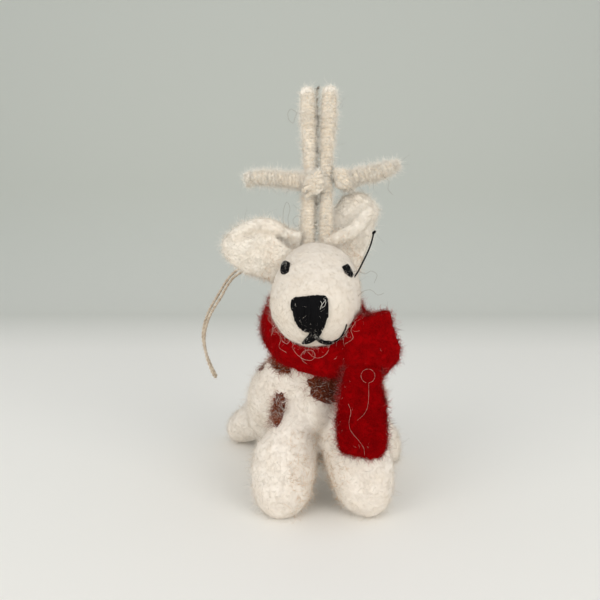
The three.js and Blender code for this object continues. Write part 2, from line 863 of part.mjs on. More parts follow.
const hindPlaceShares = [[0, 0, 0], [0.34, 0.34, 0.2], [0.7, 0.7, 0.62], [1, 1, 1], [1.2, 1.2, 1.04]];
const hindSizeShares = [[0.9, 1], [1.06, 1.1], [0.96, 0.96], [0.92, 0.92], [0.8, 0.84]];
const hindFeet = {
  left: vec(-leftFootSpread, leftFootBack, hindFootHeight),
  right: vec(rightFootSpread, rightFootBack, hindFootHeight),
};
for (const [name, foot] of Object.entries(hindFeet)) {
  const hip = vec(Math.sign(foot.x) * hipSpread, hipBack, hipHeight);
  const form = seated(felted({
    places: reachFrom(hip, foot.clone().sub(hip), hindPlaceShares),
    sizes: sized(hindWidth, hindDepth, hindSizeShares),
    side: vec(-(foot.y - hip.y), foot.x - hip.x, 0).normalize(),
    rings: 12,
    sides: 16,
  }));
  place(`hind_leg_${name}`, cut(form, torsoRoom, groundBlock), wool);
}

// Tail: it grows from where a line from behind meets the torso

const torsoSurface = surfaceOf(torsoForm);
const rumpTailShares = [[0, 0, 0], [0, 0.4, 0.3], [0, 0.8, 0.42], [0, 1, 0.3]];
const rumpTailSizeShares = [[0.9, 0.9], [1, 1], [0.9, 0.9], [0.6, 0.6]];
const forward = backward.clone().negate();
const rumpSpot = meet(torsoSurface, vec(torsoSideways, 0, rumpTailHeight), forward).place;
const rumpTail = felted({
  places: reachFrom(
    rumpSpot.sub(vec(0, rumpTailRoot, 0)),
    vec(0, rumpTailLength, rumpTailLength),
    rumpTailShares,
  ),
  sizes: sized(rumpTailWidth, rumpTailWidth, rumpTailSizeShares),
  rings: 8,
  sides: 12,
});
place('tail', cut(rumpTail, torsoRoom), wool);

// Scarf round the neck

const bandSteps = 28;
const bandSides = 10;
const bandRoundShare = 0.7;
const scarfHeight = torsoHeight - scarfDrop;
const bandPlace = (angle) => vec(
  (scarfWidth / 2) * Math.cos(angle),
  (scarfDepth / 2) * Math.sin(angle) - scarfForward,
  scarfHeight + scarfBackRise * Math.sin(angle) - scarfLeftRise * Math.cos(angle),
);
const bandForm = stack(Array.from({ length: bandSteps }, (_, k) => {
  const angle = (2 * Math.PI * k) / bandSteps;
  const outward = vec(Math.cos(angle), Math.sin(angle), 0);
  return Array.from({ length: bandSides }, (_, j) => {
    const turn = (2 * Math.PI * j) / bandSides;
    return bandPlace(angle)
      .addScaledVector(outward, (scarfThickness / 2) * squared(Math.cos(turn), bandRoundShare))
      .addScaledVector(upward, (scarfBandHeight / 2) * squared(Math.sin(turn), bandRoundShare));
  });
}), true);

// Knot: a fold of the scarf that stands out at the right of the neck

const knotPlaceShares = [
  [0.1, 0.2, 0.52],
  [0.06, 0.08, 0.3],
  [0, 0, 0],
  [0, -0.04, -0.3],
  [-0.1, 0, -0.52],
];
const knotSizeShares = [[0.5, 0.7], [0.84, 0.95], [1.06, 1], [1, 0.95], [0.84, 0.8]];
const knotCentre = vec(scarfWidth / 2 - knotInset, -scarfDepth / 2 - knotForward, scarfHeight - knotDrop);
const knotForm = felted({
  places: reachFrom(
    knotCentre,
    vec(knotWidth, knotDepth, knotHeight),
    knotPlaceShares,
  ),
  sizes: sized(knotWidth, knotDepth, knotSizeShares),
  blunt: 0.3,
  square: 0.8,
  rings: 12,
  sides: 18,
});

// Hanging end: it swings about a line along the middle of its rounded top edge

const hinge = knotCentre.clone().sub(vec(scarfEndInset, scarfEndForward, scarfEndDrop));
const endHalf = scarfEndThickness / 2;
const endPlaceShares = [[0, 0, 0], [0, 0.3, -0.33], [-0.02, 0.7, -0.66], [0.02, 1, -1]];
const endSizeShares = [[0.86, 1], [0.95, 1], [1, 1.02], [0.92, 1]];
const scarfEnd = felted({
  places: reachFrom(
    hinge.clone().add(vec(0, 0, endHalf)),
    vec(scarfEndWidth, -scarfEndBackReach, scarfEndLength),
    endPlaceShares,
  ),
  sizes: sized(scarfEndWidth, scarfEndThickness, endSizeShares),
  blunt: 0.22,
  square: 0.7,
  rings: 14,
  sides: 16,
});
const swingRoom = new THREE.BoxGeometry(overrun, overrun, overrun)
  .translate(0, 0, hinge.z + endHalf + swingGap - overrun / 2);
const headOutside = grown(headForm).applyMatrix4(outOfHead);
const knot = cut(knotForm, headOutside, torsoRoom, swingRoom);
place('scarf_knot', knot, redFelt);
const endRoom = grown(scarfEnd, swingGap);
const legRooms = Object.values(legs).map((form) => grown(form));
const mouthOutside = grown(join(...mouthThreads)).applyMatrix4(outOfHead);
const band = cut(bandForm, headOutside, torsoRoom, grown(knotForm), endRoom, mouthOutside, ...legRooms);
place('scarf_band', band, redFelt);
place('scarf_end', scarfEnd, redFelt);

// Brown patches

// Each lies where a line from a point inside the torso, turned from the front, comes out.
const bandRoom = grown(bandForm);
const knotRoom = grown(knotForm);
const patches = {
  chest_patch: { turn: 2, aimShares: [0, 0.05, 0.66], size: [chestPatchWidth, chestPatchHeight] },
  collar_patch: { turn: -48, aimShares: [0, 0.08, 0.765], size: [collarPatchWidth, collarPatchHeight] },
  flank_patch: { turn: -42, aimShares: [0, 0.2, 0.475], size: [flankPatchWidth, flankPatchHeight] },
  shoulder_patch: {
    turn: -84,
    aimShares: [0, 0.1, 0.72],
    size: [shoulderPatchWidth, shoulderPatchHeight],
  },
};
for (const [name, { turn, aimShares, size }] of Object.entries(patches)) {
  const form = pad(torsoSurface, {
    ...turned(THREE.MathUtils.degToRad(turn)),
    centre: vec(...aimShares).multiply(vec(torsoWidth, torsoLength, torsoHeight)),
    outline: oval(...size),
    edge: stitchEdge,
    rise: patchRise,
  });
  place(name, cut(form, ...legRooms, bandRoom, knotRoom, endRoom), brownWool);
}

// Hanging loop: both ends are sewn in at the back of the head. It leans out to the left and droops.

// The points are counted from the middle of the head.
const loopRoute = [
  [1.1, 15.9, 4.7], [1.1, 16.9, 4.7], [0.5, 18.1, 5], [-1.2, 18.7, 5.5],
  [-7.8, 18.7, 7.1], [-14.8, 18.7, 7.4], [-20.8, 18.7, 6.4], [-24.8, 18.7, 3.8],
  [-28.2, 18.7, -1.6], [-31.8, 18.7, -7.6], [-33.4, 18.7, -13.6], [-32.8, 18.7, -19.6],
  [-31.2, 18.9, -24.6], [-30.6, 19.7, -26.2], [-30.5, 20.7, -26.5], [-30.6, 21.7, -26.2],
  [-31.6, 22.3, -24.6], [-33.6, 22.3, -19.6], [-34.6, 22.3, -13.6], [-33, 22.3, -7.2],
  [-29.4, 22.3, -0.8], [-25.6, 22.3, 4.8], [-21.2, 22.3, 7.8], [-14.8, 22.3, 8.8],
  [-7.8, 22.3, 8.6], [-0.8, 22.2, 6.8], [1.6, 21.2, 5.4], [2.4, 18.9, 4.8],
  [2.4, 17, 4.7], [2.4, 15.9, 4.7],
];
const loopPath = new THREE.CatmullRomCurve3(loopRoute.map((point) => {
  return vec(...point).add(headFrame.position);
}));
const twineSection = new THREE.Shape().absarc(0, 0, twineDiameter / 2, 0, 2 * Math.PI);
const loop = new THREE.ExtrudeGeometry(twineSection, {
  steps: 78,
  curveSegments: 4,
  extrudePath: loopPath,
});
place('hang_loop', cut(loop, headOutside), twine);

ornament.add(headFrame);

// The origin is on the ground, under the middle of the figure without its loop.
const outer = new THREE.Box3();
ornament.updateMatrixWorld(true);
ornament.traverse((mesh) => {
  if (mesh.isMesh && mesh.name !== 'hang_loop') outer.expandByObject(mesh, true);
});
const middle = outer.getCenter(vec(0, 0, 0));
ornament.position.set(-middle.x, -middle.y, -outer.min.z);

// Gaps of the windings, and what the scene and the record take from here
const told = (point) => point.toArray().map((value) => value.toFixed(3)).join(', ');
for (const name of Object.keys(stems)) {
  const branchYarn = branches[name].yarn;
  const stemGap = leastGap(stemYarns[name], yarnDiameter).toFixed(2);
  const branchGap = leastGap(branchYarn, branchYarnDiameter).toFixed(2);
  console.log(`antler_${name}_yarn: ${stemYarns[name].turns} turns, least gap ${stemGap} mm`);
  console.log(`branch_${name}_yarn: ${branchYarn.turns} turns, least gap ${branchGap} mm`);
}
console.log(`twine ${loopPath.getLength().toFixed(1)} mm`);
console.log(`scarf hinge ${told(hinge.clone().add(ornament.position))}`);
console.log(`middle of the head ${told(headFrame.position.clone().add(ornament.position))}`);

export default ornament;
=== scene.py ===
import json
import math

import bmesh
import bpy
import numpy as np
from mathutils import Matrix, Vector, noise
from mathutils.bvhtree import BVHTree


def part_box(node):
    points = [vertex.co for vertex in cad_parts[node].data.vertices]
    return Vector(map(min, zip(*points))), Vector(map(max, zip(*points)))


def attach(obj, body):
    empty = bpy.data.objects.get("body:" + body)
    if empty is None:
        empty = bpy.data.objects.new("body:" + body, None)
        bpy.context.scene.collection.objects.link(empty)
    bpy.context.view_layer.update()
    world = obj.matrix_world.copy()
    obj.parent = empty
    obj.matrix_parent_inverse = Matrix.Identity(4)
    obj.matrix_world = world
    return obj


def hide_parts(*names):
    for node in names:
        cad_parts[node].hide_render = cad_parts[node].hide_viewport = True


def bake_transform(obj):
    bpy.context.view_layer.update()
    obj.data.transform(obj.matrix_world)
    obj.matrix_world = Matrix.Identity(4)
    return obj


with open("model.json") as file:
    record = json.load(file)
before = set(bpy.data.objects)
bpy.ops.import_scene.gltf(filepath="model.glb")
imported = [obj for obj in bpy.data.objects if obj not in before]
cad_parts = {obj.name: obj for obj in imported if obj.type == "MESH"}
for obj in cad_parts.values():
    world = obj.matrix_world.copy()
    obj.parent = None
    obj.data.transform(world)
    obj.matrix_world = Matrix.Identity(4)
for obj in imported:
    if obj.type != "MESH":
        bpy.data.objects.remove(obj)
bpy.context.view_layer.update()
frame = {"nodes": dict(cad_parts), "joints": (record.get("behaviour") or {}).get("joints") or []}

# A felted wool reindeer that sits on its rump: how it looks.
# The face is towards -Y. Left and right are as seen from in front of the face.
# Places and sizes are in millimetres here, and become metres where a mesh is made.

MM = 0.001
UP = np.array([0.0, 0.0, 1.0])
ACROSS = np.array([1.0, 0.0, 0.0])
BACKWARD = np.array([0.0, 1.0, 0.0])

# Camera, at the photograph's viewing angle

picture_size = 600
focal_pixels = 472
camera_pitch = math.radians(4.8)
camera_place = np.array([-3.383, -137.859, 65.0])
sensor_width = 36

camera_data = bpy.data.cameras.new("camera")
camera_data.sensor_width = sensor_width
camera_data.lens = sensor_width * focal_pixels / picture_size
camera_data.clip_start = 1 * MM
camera = bpy.data.objects.new("camera", camera_data)
camera.location = Vector(camera_place) * MM
camera.rotation_euler = (math.pi / 2 - camera_pitch, 0, 0)
bpy.context.collection.objects.link(camera)
bpy.context.scene.camera = camera


def sight_lines(u, v):
    """The ways from the camera through pixels of the photograph."""
    right = (u - picture_size / 2) / focal_pixels
    up = (picture_size / 2 - v) / focal_pixels
    cos, sin = math.cos(camera_pitch), math.sin(camera_pitch)
    return np.stack([right, cos + up * sin, up * cos - sin], -1)


def view_ray(u, v):
    return Vector(sight_lines(u, v)).normalized()


def at_depth(u, v, y):
    """The points that pixels show at depths y."""
    u, v, y = np.broadcast_arrays(*(np.asarray(value, float) for value in (u, v, y)))
    rays = sight_lines(u, v)
    return camera_place + rays * ((y - camera_place[1]) / rays[..., 1])[..., None]


def placed(rows):
    """The points that rows of a pixel and its depth show."""
    return at_depth(*np.transpose(rows))


def pixels_of(points):
    """The pixels at which points in millimetres are seen."""
    across, ahead, up = (points - camera_place).T
    far = ahead * math.cos(camera_pitch) - up * math.sin(camera_pitch)
    high = ahead * math.sin(camera_pitch) + up * math.cos(camera_pitch)
    middle = picture_size / 2
    return np.stack([middle + focal_pixels * across / far, middle - focal_pixels * high / far], -1)


# Curves and meshes


def unit(vectors):
    return vectors / np.maximum(np.linalg.norm(vectors, axis=-1, keepdims=True), 1e-9)


def lengths_along(path):
    """How far along a path each of its points is."""
    return np.concatenate([[0], np.cumsum(np.linalg.norm(np.diff(path, axis=0), axis=1))])


def smooth_path(points, count=None, fine=24):
    """A curve through the points. With a count, it has that many points at even steps."""
    points = np.asarray(points, float)
    ends = np.vstack([2 * points[0] - points[1], points, 2 * points[-1] - points[-2]])
    share = np.linspace(0, 1, fine, endpoint=False)[:, None]
    stretches = []
    for before, start, end, after in zip(ends, ends[1:], ends[2:], ends[3:]):
        gaps = [np.linalg.norm(b - a) ** 0.5 for a, b in ((before, start), (start, end), (end, after))]
        first, middle, last = (max(gap, 1e-4) for gap in gaps)
        leave = (start - before) / first - (end - before) / (first + middle) + (end - start) / middle
        arrive = (end - start) / middle - (after - start) / (middle + last) + (after - end) / last
        leave, arrive = leave * middle, arrive * middle
        turn = 2 * start - 2 * end + leave + arrive
        lean = -3 * start + 3 * end - 2 * leave - arrive
        stretches.append(start + leave * share + lean * share**2 + turn * share**3)
    line = np.vstack([*stretches, points[-1]])
    if count is None:
        return line
    along = lengths_along(line)
    wanted = np.linspace(0, along[-1], count)
    return np.stack([np.interp(wanted, along, line[:, axis]) for axis in range(3)], axis=1)


def pixel_line(pixels, count):
    """A curve through pixels, as pixels."""
    return smooth_path([[u, v, 0] for u, v in pixels], count)[:, :2]


def run_of(path):
    return unit(np.gradient(path, axis=0))


def frames_along(path, start=UP):
    """Two directions across a path at each of its points, turned with it without twist."""
    runs = run_of(path)
    one = start - runs[0] * (start @ runs[0])
    if np.linalg.norm(one) < 0.1:
        one = BACKWARD - runs[0] * (BACKWARD @ runs[0])
    ones = []
    for run in runs:
        one = unit(one - run * (one @ run))
        ones.append(one)
    ones = np.array(ones)
    return ones, np.cross(runs, ones)


def mesh_piece(name, points, faces, material):
    """A smooth piece from points in millimetres and faces that have equally many corners."""
    points, faces = np.asarray(points, float), np.asarray(faces, int)
    mesh = bpy.data.meshes.new(name)
    mesh.vertices.add(len(points))
    mesh.vertices.foreach_set("co", (points * MM).ravel())
    mesh.loops.add(faces.size)
    mesh.loops.foreach_set("vertex_index", faces.ravel())
    mesh.polygons.add(len(faces))
    mesh.polygons.foreach_set("loop_start", np.arange(0, faces.size, faces.shape[1]))
    mesh.update(calc_edges=True)
    mesh.shade_smooth()
    mesh.materials.append(material)
    piece = bpy.data.objects.new(name, mesh)
    bpy.context.collection.objects.link(piece)
    return piece


def dress(piece, body, slot, *nodes):
    """Says which body a piece rides on and hides the CAD nodes that it stands for. Its finish, slot, is not
    used.
    """
    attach(piece, body)
    if nodes:
        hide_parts(*nodes)
    return piece


def tube(path, radius, sides):
    """A closed round tube along a path: its points and its triangles."""
    path = np.asarray(path, float)
    radii = np.broadcast_to(np.asarray(radius, float), len(path))
    ones, twos = frames_along(path)
    angles = np.linspace(0, 2 * np.pi, sides, endpoint=False)
    ring = np.cos(angles)[None, :, None] * ones[:, None] + np.sin(angles)[None, :, None] * twos[:, None]
    points = path[:, None] + ring * radii[:, None, None]
    return closed_stack(points, path[0], path[-1])


def closed_stack(rings, first_pole, last_pole):
    """Triangles over a stack of equal rings, closed with a point at each end."""
    rows, sides = rings.shape[:2]
    points = np.vstack([rings.reshape(-1, 3), first_pole, last_pole])
    here = np.arange(sides)
    there = (here + 1) % sides
    base = (np.arange(rows - 1) * sides)[:, None]
    a, b, c, d = base + here, base + there, base + sides + there, base + sides + here
    wall = np.concatenate([np.stack([a, b, c], -1).reshape(-1, 3), np.stack([a, c, d], -1).reshape(-1, 3)])
    first, last = rows * sides, rows * sides + 1
    floor = np.stack([there, here, np.full(sides, first)], -1)
    top = (rows - 1) * sides
    roof = np.stack([top + here, top + there, np.full(sides, last)], -1)
    return points, np.concatenate([wall, floor, roof])


def gathered(parts):
    """Several meshes of points and triangles as one."""
    points, faces, count = [], [], 0
    for part_points, part_faces in parts:
        points.append(part_points)
        faces.append(part_faces + count)
        count += len(part_points)
    return np.vstack(points), np.vstack(faces)


# Felted forms, grown from the frame's own solids


def plumped(nodes, plump):
    """The named CAD solids as one mesh, each with its skin moved outwards."""
    whole = bmesh.new()
    for name in nodes:
        form = bmesh.new()
        form.from_mesh(frame["nodes"][name].data)
        bmesh.ops.remove_doubles(form, verts=form.verts, dist=0.01 * MM)
        form.normal_update()
        for vertex in form.verts:
            vertex.co += vertex.normal * plump * MM
        part = bpy.data.meshes.new(name)
        form.to_mesh(part)
        form.free()
        whole.from_mesh(part)
        bpy.data.meshes.remove(part)
    return whole


def soft_skin(name, mesh, material, grain, smoothing):
    """One even, closed skin over whatever a mesh holds."""
    rough = bpy.data.objects.new(name, mesh)
    bpy.context.collection.objects.link(rough)
    remesh = rough.modifiers.new("skin", "REMESH")
    remesh.mode = "VOXEL"
    remesh.voxel_size = grain * MM
    smooth = rough.modifiers.new("smooth", "SMOOTH")
    smooth.iterations = smoothing
    view = bpy.context.evaluated_depsgraph_get()
    skin = bpy.data.meshes.new_from_object(rough.evaluated_get(view))
    bpy.data.objects.remove(rough)
    bpy.data.meshes.remove(mesh)
    skin.name = name
    skin.materials.clear()
    skin.materials.append(material)
    skin.shade_smooth()
    piece = bpy.data.objects.new(name, skin)
    bpy.context.collection.objects.link(piece)
    return piece


def felted(name, nodes, material, plump, grain, smoothing):
    """A soft skin over the named CAD solids."""
    whole = plumped(nodes, plump)
    mesh = bpy.data.meshes.new(name)
    whole.to_mesh(mesh)
    whole.free()
    return soft_skin(name, mesh, material, grain, smoothing)


def moulded(name, points, faces, material, grain, smoothing):
    """A soft skin over a form of points and triangles."""
    form = mesh_piece(name, points, faces, material)
    mesh = form.data
    bpy.data.objects.remove(form)
    return soft_skin(name, mesh, material, grain, smoothing)


def with_solids(nodes, form, plump=0.25):
    """CAD solids and a form of points and triangles, gathered in one mesh."""
    whole = plumped(nodes, plump)
    bmesh.ops.triangulate(whole, faces=whole.faces)
    whole.verts.index_update()
    points = np.array([vertex.co for vertex in whole.verts]) / MM
    faces = np.array([[vertex.index for vertex in face.verts] for face in whole.faces])
    whole.free()
    return gathered([(points, faces), form])


def skin_tree(piece):
    """A piece's skin, for finding where a line of sight meets it."""
    return BVHTree.FromObject(piece, bpy.context.evaluated_depsgraph_get())


def on_skin(tree, u, v):
    """The point of a skin that a pixel shows and its normal, or those of the skin nearest to the camera."""
    spot, normal, _, _ = tree.ray_cast(Vector(camera_place) * MM, view_ray(u, v))
    if spot is None:
        spot, normal, _, _ = tree.find_nearest(Vector(camera_place) * MM)
    return np.array(spot) / MM, np.array(normal)


def points_of(piece):
    """The points and normals of a piece, in millimetres."""
    mesh = piece.data
    points = np.empty(len(mesh.vertices) * 3)
    normals = np.empty(len(mesh.vertices) * 3)
    mesh.vertices.foreach_get("co", points)
    mesh.vertices.foreach_get("normal", normals)
    return points.reshape(-1, 3) / MM, normals.reshape(-1, 3)


def move_points(piece, points):
    piece.data.vertices.foreach_set("co", (points * MM).ravel())
    piece.data.update()


def lumps(points, size, seed):
    """Soft noise between -1 and 1 with lumps of that size."""
    shift = Vector((seed * 3.7, seed * 1.9, seed * 5.3))
    return np.array([noise.noise(Vector(point) / size + shift) for point in points])


def knead(piece, sizes, seed, floor=0.12):
    """Pushes a skin in and out in lumps: pairs of size and depth."""
    points, normals = points_of(piece)
    push = sum(depth * lumps(points, size, seed + k) for k, (size, depth) in enumerate(sizes))
    points = points + normals * push[:, None]
    points[:, 2] = np.maximum(points[:, 2], floor)
    move_points(piece, points)


def press(piece, pixel, reach, push):
    """Pushes the part of a skin that is seen near a pixel, most at the pixel itself."""
    points, _ = points_of(piece)
    away = np.linalg.norm(pixels_of(points) - pixel, axis=1) / reach
    points = points + np.exp(-(away**2))[:, None] * np.asarray(push)
    move_points(piece, points)


# Fibres


def scatter(rng, piece, count, keep):
    """Places on a piece's skin, spread evenly, with their normals."""
    mesh = piece.data
    mesh.calc_loop_triangles()
    corners = np.empty(len(mesh.loop_triangles) * 3, int)
    mesh.loop_triangles.foreach_get("vertices", corners)
    corners = corners.reshape(-1, 3)
    points, normals = points_of(piece)
    a, b, c = (points[corners[:, k]] for k in range(3))
    area = np.linalg.norm(np.cross(b - a, c - a), axis=1)
    if keep is not None:
        area = area * keep((a + b + c) / 3, unit(np.cross(b - a, c - a)))
    pick = rng.choice(len(corners), count, p=area / area.sum())
    mix = rng.dirichlet((1, 1, 1), count)[:, :, None]
    chosen = corners[pick]
    return (points[chosen] * mix).sum(1), unit((normals[chosen] * mix).sum(1))


def hairs(rng, roots, ways, length, width, curl, steps, sink=0.1, floor=0.05):
    """Thin closed three-sided hairs, each with a bend of its own."""
    count = len(roots)
    lengths = length * rng.uniform(0.45, 1.35, count)
    way = unit(ways)
    bend = unit(np.cross(way, rng.normal(size=(count, 3))))
    line = [roots - way * sink]
    for _ in range(steps):
        line.append(line[-1] + way * (lengths / steps)[:, None])
        way = unit(way + curl * bend)
        bend = unit(bend + 0.45 * rng.normal(size=(count, 3)))
    line = np.stack(line, 1)
    line[:, :, 2] = np.maximum(line[:, :, 2], floor)
    one = unit(np.cross(line[:, 1] - line[:, 0], rng.normal(size=(count, 3))))
    two = unit(np.cross(line[:, 1] - line[:, 0], one))
    angles = np.arange(3) * 2 * np.pi / 3
    taper = np.linspace(1, 0.45, steps - 1)
    ring = np.cos(angles)[:, None] * one[:, None] + np.sin(angles)[:, None] * two[:, None]
    inner = line[:, 1:-1, None] + ring[:, None] * (width / 2) * taper[None, :, None, None]
    points = np.concatenate([line[:, :1], inner.reshape(count, -1, 3), line[:, -1:]], 1)
    per_hair = points.shape[1]
    here = np.arange(3)
    there = (here + 1) % 3
    faces = [np.stack([np.zeros(3, int), 1 + there, 1 + here], -1)]
    for row in range(steps - 2):
        low, high = 1 + 3 * row, 4 + 3 * row
        faces.append(np.stack([low + here, low + there, high + there], -1))
        faces.append(np.stack([low + here, high + there, high + here], -1))
    last = 1 + 3 * (steps - 2)
    faces.append(np.stack([last + here, last + there, np.full(3, per_hair - 1)], -1))
    faces = np.concatenate(faces)
    starts = (np.arange(count) * per_hair)[:, None, None]
    return points.reshape(-1, 3), (faces[None] + starts).reshape(-1, 3)


def nap(rng, piece, count, length, width, lift, curl, keep=None, steps=4):
    """Short fibres that lie over a piece's skin and lift a little off it."""
    roots, normals = scatter(rng, piece, count, keep)
    lie = rng.normal(size=(count, 3))
    lie = unit(lie - normals * (lie * normals).sum(1)[:, None])
    lifts = rng.uniform(0.3, 1.5, count)[:, None] * lift
    return hairs(rng, roots, lie + normals * lifts, length, width, curl, steps)


def fibre_piece(name, parts, material, slot="wool", body="figure"):
    """Fibres as one piece. Most of them are wool, and stay with the figure."""
    return dress(mesh_piece(name, *gathered(parts), material), body, slot)


# Materials


def paint(red, green, blue):
    """A colour as it is seen, from 0 to 255, in the linear values that a shader takes."""
    linear = []
    for value in (red, green, blue):
        share = value / 255
        linear.append(share / 12.92 if share < 0.04045 else ((share + 0.055) / 1.055) ** 2.4)
    return (*linear, 1.0)


class Wiring:
    """Adds nodes to a tree and joins them."""

    def __init__(self, tree):
        self.tree = tree

    def add(self, kind, settings=None, **inputs):
        node = self.tree.nodes.new(kind)
        for name, value in (settings or {}).items():
            setattr(node, name, value)
        for name, value in inputs.items():
            self.feed(node.inputs[name.replace("_", " ")], value)
        return node

    def feed(self, socket, value):
        if isinstance(value, bpy.types.NodeSocket):
            self.tree.links.new(value, socket)
        else:
            socket.default_value = value

    def mix(self, share, first, second):
        node = self.tree.nodes.new("ShaderNodeMix")
        node.data_type = "RGBA"
        self.feed(node.inputs[0], share)
        self.feed(node.inputs[6], first)
        self.feed(node.inputs[7], second)
        return node.outputs[2]

    def math(self, operation, first, second):
        node = self.tree.nodes.new("ShaderNodeMath")
        node.operation = operation
        self.feed(node.inputs[0], first)
        self.feed(node.inputs[1], second)
        return node.outputs[0]

    def span(self, value, low, high):
        """A value's stretch from low to high, as 0 to 1."""
        return self.add("ShaderNodeMapRange", Value=value, From_Min=low, From_Max=high).outputs[0]


def node_group(name, inputs, outputs):
    """A node group with its named sockets, and the wiring to fill it with."""
    group = bpy.data.node_groups.new(name, "ShaderNodeTree")
    for label, kind, value in inputs:
        socket = group.interface.new_socket(name=label, in_out="INPUT", socket_type=kind)
        socket.default_value = value
    for label, kind in outputs:
        group.interface.new_socket(name=label, in_out="OUTPUT", socket_type=kind)
    wiring = Wiring(group)
    return group, wiring, wiring.add("NodeGroupInput"), wiring.add("NodeGroupOutput")


FLOAT, COLOUR = "NodeSocketFloat", "NodeSocketColor"


def make_matted_fibres():
    """Wool fibres matted together: fine ridges over soft lumps, with painted shade that darkens them where
    they lie deep.
    """
    group, wiring, given, result = node_group(
        "matted_fibres",
        [
            ("Colour", COLOUR, (0.8, 0.8, 0.8, 1)),
            ("Deep Colour", COLOUR, (0.5, 0.5, 0.5, 1)),
            ("Fibres per Metre", FLOAT, 1500.0),
            ("Tangle", FLOAT, 1.5),
            ("Depth", FLOAT, 0.5),
        ],
        [("Colour", COLOUR), ("Height", FLOAT)],
    )
    place = wiring.add("ShaderNodeTexCoord").outputs["Object"]
    ridged = {"noise_type": "RIDGED_MULTIFRACTAL"}
    fine = wiring.add(
        "ShaderNodeTexNoise",
        ridged,
        Vector=place,
        Scale=given.outputs["Fibres per Metre"],
        Detail=3.0,
        Roughness=0.55,
        Distortion=given.outputs["Tangle"],
    ).outputs[0]
    coarse_scale = wiring.math("MULTIPLY", given.outputs["Fibres per Metre"], 0.22)
    coarse = wiring.add(
        "ShaderNodeTexNoise", Vector=place, Scale=coarse_scale, Detail=2.0, Distortion=0.6
    ).outputs[0]
    ridge = wiring.span(fine, 0.15, 1.5)
    lump = wiring.span(coarse, 0.35, 0.68)
    height = wiring.math("ADD", wiring.math("MULTIPLY", ridge, 0.55), wiring.math("MULTIPLY", lump, 0.6))
    # Painted shade: the lower the relief, the more of the deep colour it takes.
    shade = wiring.math("MULTIPLY", wiring.math("SUBTRACT", 1.0, height), given.outputs["Depth"])
    clean = wiring.add("ShaderNodeClamp", Value=shade).outputs[0]
    colour = wiring.mix(clean, given.outputs["Colour"], given.outputs["Deep Colour"])
    wiring.feed(result.inputs["Colour"], colour)
    wiring.feed(result.inputs["Height"], height)
    return group


def make_soft_blotches():
    """Broad, faint changes of tone, as in undyed wool."""
    group, wiring, given, result = node_group(
        "soft_blotches",
        [
            ("Colour", COLOUR, (0.8, 0.8, 0.8, 1)),
            ("Blotch Colour", COLOUR, (0.5, 0.5, 0.5, 1)),
            ("Blotches per Metre", FLOAT, 120.0),
            ("Amount", FLOAT, 0.4),
        ],
        [("Colour", COLOUR)],
    )
    place = wiring.add("ShaderNodeTexCoord").outputs["Object"]
    tone = wiring.add(
        "ShaderNodeTexNoise",
        Vector=place,
        Scale=given.outputs["Blotches per Metre"],
        Detail=3.0,
        Distortion=0.8,
    ).outputs[0]
    share = wiring.math("MULTIPLY", wiring.span(tone, 0.42, 0.72), given.outputs["Amount"])
    colour = wiring.mix(share, given.outputs["Colour"], given.outputs["Blotch Colour"])
    wiring.feed(result.inputs["Colour"], colour)
    return group


matted_fibres = make_matted_fibres()
soft_blotches = make_soft_blotches()


def new_material(name):
    """A material with its wiring and its shader."""
    material = bpy.data.materials.new(name)
    material.use_nodes = True
    return material, Wiring(material.node_tree), material.node_tree.nodes["Principled BSDF"]


def give(shader, **values):
    """Sets inputs of a shader: an underscore stands for a space."""
    for name, value in values.items():
        shader.inputs[name.replace("_", " ")].default_value = value


def add_relief(wiring, shader, height, strength, distance):
    """Gives a shader a relief from a height. The distance is in millimetres."""
    relief = wiring.add("ShaderNodeBump", Height=height, Strength=strength)
    give(relief, Distance=distance * MM)
    wiring.feed(shader.inputs["Normal"], relief.outputs["Normal"])


def use(wiring, group, **inputs):
    node = wiring.add("ShaderNodeGroup", {"node_tree": group})
    for name, value in inputs.items():
        wiring.feed(node.inputs[name.replace("_", " ")], value)
    return node


def wool_material(
    name,
    colour,
    deep,
    blotch,
    depth,
    fibres=1500.0,
    tangle=1.6,
    amount=0.4,
    blotches=120.0,
    bump=0.12,
    roughness=0.95,
    gloss=0.2,
    sheen=0.15,
    sheen_tint=(1.0, 1.0, 1.0, 1.0),
):
    """A matt fibrous material in colours as they are seen, with its relief from the matted fibres and deep as
    painted shade in its hollows.
    """
    material, wiring, shader = new_material(name)
    tone = use(
        wiring,
        soft_blotches,
        Colour=paint(*colour),
        Blotch_Colour=paint(*blotch),
        Blotches_per_Metre=blotches,
        Amount=amount,
    ).outputs["Colour"]
    web = use(
        wiring,
        matted_fibres,
        Colour=tone,
        Deep_Colour=paint(*deep),
        Fibres_per_Metre=fibres,
        Tangle=tangle,
        Depth=depth,
    )
    wiring.feed(shader.inputs["Base Color"], web.outputs["Colour"])
    if bump:
        add_relief(wiring, shader, web.outputs["Height"], 0.8, bump)
    give(shader, Roughness=roughness, Specular_IOR_Level=gloss)
    give(shader, Sheen_Weight=sheen, Sheen_Roughness=0.5, Sheen_Tint=sheen_tint)
    return material


def fibre_material(name, colour, deep, blotch, depth=0.4, **finish):
    """The finish of loose fibres, which have no relief of their own."""
    return wool_material(name, colour, deep, blotch, depth=depth, bump=0, **finish)
